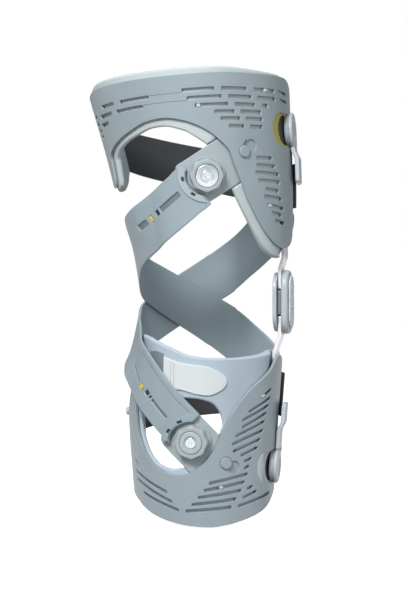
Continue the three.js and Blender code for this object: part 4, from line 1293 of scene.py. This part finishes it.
def back_strap(owner):
    route = BACK_ROUTES[owner]
    scale = BACK_FLAT[owner]
    half = BACK_STRAP_WIDTH / 2
    ring = rounded_box(route[0][0] * scale, route[-1][0] * scale, -half, half, radius=2)
    place = on_strap(route, 0, scale)
    obj = plate(f"{owner}_back_strap", [ring], place, STRAP_WALL, edge=0.7, pitch=BACK_STRAP_CELLS)
    dress(obj, STRAP_CLOTH, nodes=(f"{owner}_strap",))
    rivet_seat = seat(*RIVETS[owner], SHELL_OUTER + SEAT_GAP)
    rivet = turned(f"{owner}_strap_rivet_head", RIVET, rivet_seat, steps=32, edge=0.3)
    dress(rivet, FASTENER_PLASTIC, nodes=(f"{owner}_strap_rivet",))


for owner in BACK_ROUTES:
    back_strap(owner)

# Crescents in the keyholes. Rims: distance inside the keyhole at its front end, and elsewhere.
# Slopes: distance from the front end, and drop.
LIP_RIMS = {"thigh": ((0.2, 0.2), (9.4, 1.4)), "calf": ((6.2, 1.2), (9, 1.8))}
LIP_SLOPES = {"thigh": ((0.2, 0), (9.4, 0.9)), "calf": ((6.2, 1.6), (9, 2.4))}
DISH_RIMS = ((-6.5, -1.2), (6, 1))
DISH_SLOPE = ((-6.5, -0.5), (-0.4, -0.5), (6, 1.4))
DISH_DEPTH, DISH_WALL = 1.7, 1.4
KEYHOLE_FINISH = {"thigh": KEYHOLE_YELLOW, "calf": KEYHOLE_BLUE}
KEYHOLE_FLOOR, FLOOR_MARGIN = 3.6, 2.5
# Buckles, as angle and height, and the profile of their buttons
BUCKLES = {"thigh": (92, 139), "calf": (93, -132.5)}
BUCKLE_RADIUS = 14.3
BUCKLE = (
    (0, -3.5),
    (12.4, -3.5),
    (12.8, -2.9),
    (13.1, 0),
    (13.8, 0.4),
    (14.3, 1.0),
    (14.3, 2.4),
    (13.4, 3.4),
    (8.6, 3.4),
    (7.6, 2.6),
    (0, 2.6),
)
# Buckle tabs: the heights of their start, of the step outwards from and to, and of their end
BUCKLE_TABS = {"thigh": (133, 123, 115.5, 96), "calf": (-123, -104, -96, -81)}
TAB_FROM, TAB_TO, TAB_WALL, TAB_SEAT, TAB_FREE = 88, 107, 3.6, 12.7, 15.7
TAB_GAP, TAB_CORNER = 0.7, 2


def keyhole_ring(owner, front, inset):
    """Ring inside a keyhole, with its own distance at the keyhole's front end."""
    start, end, height, rise = KEYHOLES[owner]
    local = per_degree((start + end) / 2, height, SHELL_OUTER + HINGE_RISE)
    width = KEYHOLE_WIDTH - 2 * inset
    return slot_ring(owner, (start + front / local, end - inset / local, height, rise), width, width / 2)


def keyhole_crescent(name, owner, rims, slope):
    """A crescent between two rims, which slopes into a keyhole from its front end."""
    start, _, height, _ = KEYHOLES[owner]
    local = per_degree(start, height, SHELL_OUTER + HINGE_RISE)

    def place(x, y, z):
        angle = x / FLAT[owner]
        drop = np.interp((angle - start) * local, *zip(*slope))
        return form_point(angle, y, SHELL_OUTER - DISH_DEPTH + z - drop + hinge_rise(angle))

    rings = [keyhole_ring(owner, front, inset) for front, inset in rims]
    return plate(name, rings, place, DISH_WALL, edge=0.4, pitch=CRESCENT_CELLS)


def keyhole(owner):
    if owner == "calf":
        dish = keyhole_crescent("calf_keyhole_dish", owner, DISH_RIMS, DISH_SLOPE)
        dress(dish, FASTENER_PLASTIC)
    lip = keyhole_crescent(f"{owner}_keyhole_lip", owner, LIP_RIMS[owner], LIP_SLOPES[owner])
    dress(lip, KEYHOLE_FINISH[owner], nodes=(f"{owner}_keyhole_rim",))
    # A black floor deep in the keyhole: painted shade under the buckle
    ring = keyhole_ring(owner, -FLOOR_MARGIN, -FLOOR_MARGIN)
    place = over_form(owner, KEYHOLE_FLOOR)
    floor = plate(f"{owner}_keyhole_shade_floor", [ring], place, wall=0.6, edge=0.2, pitch=SMALL_CELLS)
    dress(floor, PAINTED_SHADE_BLACK)


def buckle(owner):
    place = seat(*BUCKLES[owner], SHELL_OUTER + HINGE_RISE + SEAT_GAP)
    obj = turned(f"{owner}_buckle_button", BUCKLE, place, steps=72, edge=0.4)
    dress(obj, FASTENER_PLASTIC, nodes=(f"{owner}_buckle",))


def buckle_tab(owner):
    """The strip between a buckle's button and its strap, hollowed round the button."""
    top, step, bend, end = BUCKLE_TABS[owner]
    angle, height = BUCKLES[owner]
    scale = FLAT[owner]
    local = per_degree(angle, height, SHELL_OUTER + HINGE_RISE)
    clear = BUCKLE_RADIUS + TAB_GAP
    way = 1 if top > end else -1
    ring = []
    for at in np.linspace(TAB_FROM, TAB_TO, 25):
        off = (at - angle) * local
        near = height - way * math.sqrt(max(clear ** 2 - off ** 2, 0))
        ring.append((at * scale, min(top, near) if way > 0 else max(top, near)))
    left, right = TAB_FROM * scale, TAB_TO * scale
    ring += [(right, end + way * TAB_CORNER), (right - TAB_CORNER, end)]
    ring += [(left + TAB_CORNER, end), (left, end + way * TAB_CORNER)]

    def place(x, y, z):
        lift = TAB_SEAT + (TAB_FREE - TAB_SEAT) * ease((y - step) / (bend - step))
        return form_point(x / scale, y, lift + z)

    obj = plate(f"{owner}_buckle_tab_plate", [ring], place, TAB_WALL, 0.9, SMALL_CELLS, edge_steps=3)
    dress(obj, FASTENER_PLASTIC, nodes=(f"{owner}_buckle_tab",))


for owner in KEYHOLES:
    keyhole(owner)
for owner in BUCKLES:
    buckle(owner)
    buckle_tab(owner)

# Studs, with a profile of radius and height, and the slit beside the thigh stud; the slit and a dark ring
# set off to one side of each stud are painted shade
STUD = ((0, -2.6), (2.2, -2.6), (2.2, 0.3), (4.8, 0.3), (4.8, 1.4), (4.1, 1.9), (0, 1.9))
STUD_SLIT_SHADE = ((-1.4, 4.4), (-0.3, 4.4), (2.8, 8.8), (2.1, 9.2))
STUD_SHADOW = circle(0.45, 0.1, STUD_RADIUS + 0.2, 40)
SHADE_SINK = 0.3
# Slot pins: node, owner, slot and angle
SLOT_PINS = (
    ("thigh_slot_pin_rim", "thigh", RIM_SLOT_ROWS[2], 59.5),
    ("thigh_slot_pin_front", "thigh", RIM_SLOT_ROWS[8], 9.7),
    ("thigh_slot_pin_side", "thigh", THIGH_SLOTS[6], 60.2),
    ("calf_slot_pin_side", "calf", CALF_SLOTS[0], 63.4),
    ("calf_slot_pin_front", "calf", CALF_SLOTS[11], 26.5),
)
PIN_LENGTH, PIN_PLAY = 3.2, 0.3
PIN_TOP, PIN_FOOT = SHELL_OUTER + 0.4, 0.1


def stud_shade(owner, kind, ring):
    """A thin black sheet on the shell beside a stud: painted shade of the gap round it, and of the slit
    beside the thigh stud.
    """
    flat = spot_ring(owner, *STUDS[owner][:2], ring)
    place = over_form(owner, SHELL_OUTER - SHADE_SINK)
    obj = plate(f"{owner}_stud_{kind}", [flat], place, wall=0.4, edge=0.1, pitch=FINE_CELLS)
    dress(obj, PAINTED_SHADE_BLACK)


def stud(owner):
    stud_shade(owner, "gap", STUD_SHADOW)
    if owner == "thigh":
        stud_shade(owner, "slit", STUD_SLIT_SHADE)
    place = seat(*STUDS[owner][:2], SHELL_OUTER)
    obj = turned(f"{owner}_stud_head", STUD, place, steps=48, edge=0.3)
    dress(obj, SHELL_PLASTIC, nodes=(f"{owner}_liner_stud",))


def slot_pin(node, owner, slot, angle):
    start, end, height, rise = slot
    foot = PAD_OUTER[owner] + PIN_FOOT
    wall = PIN_TOP - foot
    middle = height + rise * (angle - start) / (end - start)
    half = PIN_LENGTH / 2 / per_degree(angle, middle, PIN_TOP)
    climb = rise * half * 2 / (end - start)
    filled = (angle - half, angle + half, middle - climb / 2, climb)

    def place(x, y, z):
        across = x / FLAT[owner]
        return form_point(across, y, foot + z + hinge_rise(across) * z / wall)

    ring = slot_ring(owner, filled, SLOT_WIDTH[owner] - PIN_PLAY, corner=0.6)
    obj = plate(f"{node}_peg", [ring], place, wall, edge=0.4, pitch=FINE_CELLS)
    dress(obj, PIN_WHITE, nodes=(node,))


for owner in STUDS:
    stud(owner)
for row in SLOT_PINS:
    slot_pin(*row)

# Hinge: bars by height and distance out, then the pod's sizes and the distances out of its layers
BAR_WIDTH, BAR_WALL = 16, 2.8
UPPER_BAR = ((10, 62), (27, 62), (36, 64.9), (116, 64.9))
LOWER_BAR = ((-100, 52.5), (-40, 57.4), (-27, 62), (-11, 62))
HINGE_WIDTH, COVER_HALF, PLATE_HALF, CORE_HALF = 28, 26, 24, 10
PLATE_INNER, PLATE_OUTER, COVER_INNER, COVER_OUTER = 58.4, 61.7, 65.1, 71
CORE_GAP, CORE_PLAY, CORE_CELLS = 0.5, 0.3, (5, 5)
COVER_CROWN, CROWN_FROM, CROWN_SLOPE = 0.9, 4, 3
PANEL_INSET, PANEL_SEAT = 4.5, 0.3
PANEL_RIBS = (-12, -4, 4, 12)
PANEL_RIB_HALF, PANEL_RIB_RISE, PANEL_RIB_SEAT = 6.5, 0.8, 1.2


def upright(inner):
    """Stands flat places up on the hinge side, at a distance out from the middle."""
    def place(x, y, z):
        return np.stack((inner + z, x, y), axis=-1)
    return place


def bar(name, stations):
    heights, inners = zip(*stations)
    ring = rounded_box(-BAR_WIDTH / 2, BAR_WIDTH / 2, heights[0], heights[-1], radius=2)

    def place(x, y, z):
        return np.stack((np.interp(y, heights, inners) + z, x, y), axis=-1)

    folds = [((0, height, 0), (0, 1, 0)) for height in heights[1:-1]]
    obj = plate(f"{name}_strip", [ring], place, BAR_WALL, 0.6, SHELL_CELLS, edge_steps=3, folds=folds)
    dress(obj, BAR_METAL, nodes=(name,))


def oval_ring(half, width):
    radius = width / 2
    turns = np.radians(np.linspace(0, 180, 25))
    ring = [(radius * math.cos(t), half - radius + radius * math.sin(t)) for t in turns]
    return ring + [(-x, -y) for x, y in ring]


def hinge_cover():
    wall = COVER_OUTER - COVER_INNER

    def place(x, y, z):
        depth = HINGE_WIDTH / 2 - np.hypot(x, np.maximum(np.abs(y) - (COVER_HALF - HINGE_WIDTH / 2), 0))
        crown = COVER_CROWN * ease((depth - CROWN_FROM) / CROWN_SLOPE) * (z > wall / 2)
        return np.stack((COVER_INNER + z + crown, x, y), axis=-1)

    ring = oval_ring(COVER_HALF, HINGE_WIDTH)
    obj = plate("hinge_cover_pod", [ring], place, wall, edge=2.2, pitch=FINE_CELLS, edge_steps=4)
    dress(obj, HINGE_PLASTIC, nodes=("hinge_cover",))


def hinge_panel():
    """The panel on the cover, with its ribs, painted pale for the highlight on the cover's face."""
    ring = oval_ring(COVER_HALF - PANEL_INSET, HINGE_WIDTH - 2 * PANEL_INSET)
    place = upright(COVER_OUTER + PANEL_SEAT)
    panel = plate("hinge_cover_panel", [ring], place, wall=1.2, edge=0.5, edge_steps=3)
    dress(panel, PANEL_PAINTED_HIGHLIGHT)
    for i, height in enumerate(PANEL_RIBS):
        low, high = height - PANEL_RIB_RISE, height + PANEL_RIB_RISE
        strip = rounded_box(-PANEL_RIB_HALF, PANEL_RIB_HALF, low, high, radius=0.7, steps=3)
        rib_place = upright(COVER_OUTER + PANEL_RIB_SEAT)
        rib = plate(f"hinge_cover_rib_{i}", [strip], rib_place, wall=1, edge=0.4)
        dress(rib, PANEL_PAINTED_HIGHLIGHT)


def hinge_core():
    low, high = LOWER_BAR[-1][0] + CORE_GAP, UPPER_BAR[0][0] - CORE_GAP
    ring = rounded_box(-CORE_HALF, CORE_HALF, low, high, radius=1.5)
    wall = COVER_INNER - PLATE_OUTER - 2 * CORE_PLAY
    place = upright(PLATE_OUTER + CORE_PLAY)
    obj = plate("hinge_core_block", [ring], place, wall, edge=0.5, pitch=CORE_CELLS)
    dress(obj, CORE_GREY, nodes=("hinge_core",))


def hinge_plate():
    ring = oval_ring(PLATE_HALF, HINGE_WIDTH)
    wall = PLATE_OUTER - PLATE_INNER
    obj = plate("hinge_back_plate", [ring], upright(PLATE_INNER), wall, edge=0.8, edge_steps=3)
    dress(obj, HINGE_PLASTIC, nodes=("hinge_inner_plate",))


bar("hinge_upper_bar", UPPER_BAR)
bar("hinge_lower_bar", LOWER_BAR)
hinge_cover()
hinge_panel()
hinge_core()
hinge_plate()
for node in ("hinge_pin_upper", "hinge_pin_lower"):
    coat(frame["nodes"][node], BAR_METAL)

# Floor, backdrop and light, in metres
FLOOR_SIZE, FLOOR_HEIGHT, FLOOR_GLOW = 8, -0.18, 0.75
SKY_BELOW, SKY_ABOVE = 0.14, 0.44
# Lights: name, place, what it is turned to, size and power
LIGHTS = (
    ("key", (-0.25, -1.55, 1.1), (0, 0, 0), (0.6, 0.6), 33.5),
    ("fill", (1.3, -1.1, 0.3), (0, 0, 0), (1.0, 1.4), 6),
    ("rim", (0.2, 1.4, 1.0), (0, 0, 0.05), (1.4, 0.8), 5),
)


def backdrop():
    bpy.ops.object.select_all(action="DESELECT")
    bpy.ops.mesh.primitive_plane_add(size=FLOOR_SIZE, location=(0, 0, FLOOR_HEIGHT))
    floor = bpy.context.object
    floor.name = "floor"
    material, _, _ = new_material("floor_white", roughness=0.9, base_color=(0.9, 0.9, 0.9, 1),
                                  emission_color=(1, 1, 1, 1), emission_strength=FLOOR_GLOW)
    floor.data.materials.append(material)
    floor.visible_diffuse = False


def world():
    """White to the camera, and a soft sky that is brighter above for the light it gives."""
    sky = bpy.data.worlds.new("studio")
    sky.use_nodes = True
    scene.world = sky
    tree = sky.node_tree
    links = tree.links
    back = tree.nodes["Background"]
    set_inputs(back, color=(1, 1, 1, 1))
    place = tree.nodes.new("ShaderNodeTexCoord")
    parts = tree.nodes.new("ShaderNodeSeparateXYZ")
    links.new(place.outputs["Generated"], parts.inputs[0])
    glow = new_node(tree, "ShaderNodeMapRange", from_min=-1, to_min=SKY_BELOW, to_max=SKY_ABOVE)
    links.new(parts.outputs["Z"], glow.inputs["Value"])
    path = tree.nodes.new("ShaderNodeLightPath")
    level = tree.nodes.new("ShaderNodeMapRange")
    links.new(path.outputs["Is Camera Ray"], level.inputs["Value"])
    links.new(glow.outputs["Result"], level.inputs["To Min"])
    links.new(level.outputs["Result"], back.inputs["Strength"])


def add_object(name, data, place, facing):
    obj = bpy.data.objects.new(name, data)
    scene.collection.objects.link(obj)
    obj.location = place
    obj.rotation_mode = "QUATERNION"
    obj.rotation_quaternion = facing.to_track_quat("-Z", "Y")
    return obj


def soft_light(name, place, target, size, power):
    data = bpy.data.lights.new(name, "AREA")
    data.shape = "RECTANGLE"
    data.size, data.size_y = size
    data.energy = power
    add_object(name, data, place, Vector(target) - Vector(place))


def camera():
    data = bpy.data.cameras.new("camera")
    data.lens = CAMERA_LENS
    data.sensor_width = SENSOR_WIDTH
    back = Vector((math.sin(CAMERA_AZIMUTH), -math.cos(CAMERA_AZIMUTH), 0))
    right = Vector((math.cos(CAMERA_AZIMUTH), math.sin(CAMERA_AZIMUTH), 0))
    place = back * CAMERA_DISTANCE + right * LOOK_ACROSS + Vector((0, 0, LOOK_HEIGHT))
    scene.camera = add_object("camera", data, place, -back)


camera()
backdrop()
world()
for row in LIGHTS:
    soft_light(*row)
scene.view_settings.view_transform = "Standard"
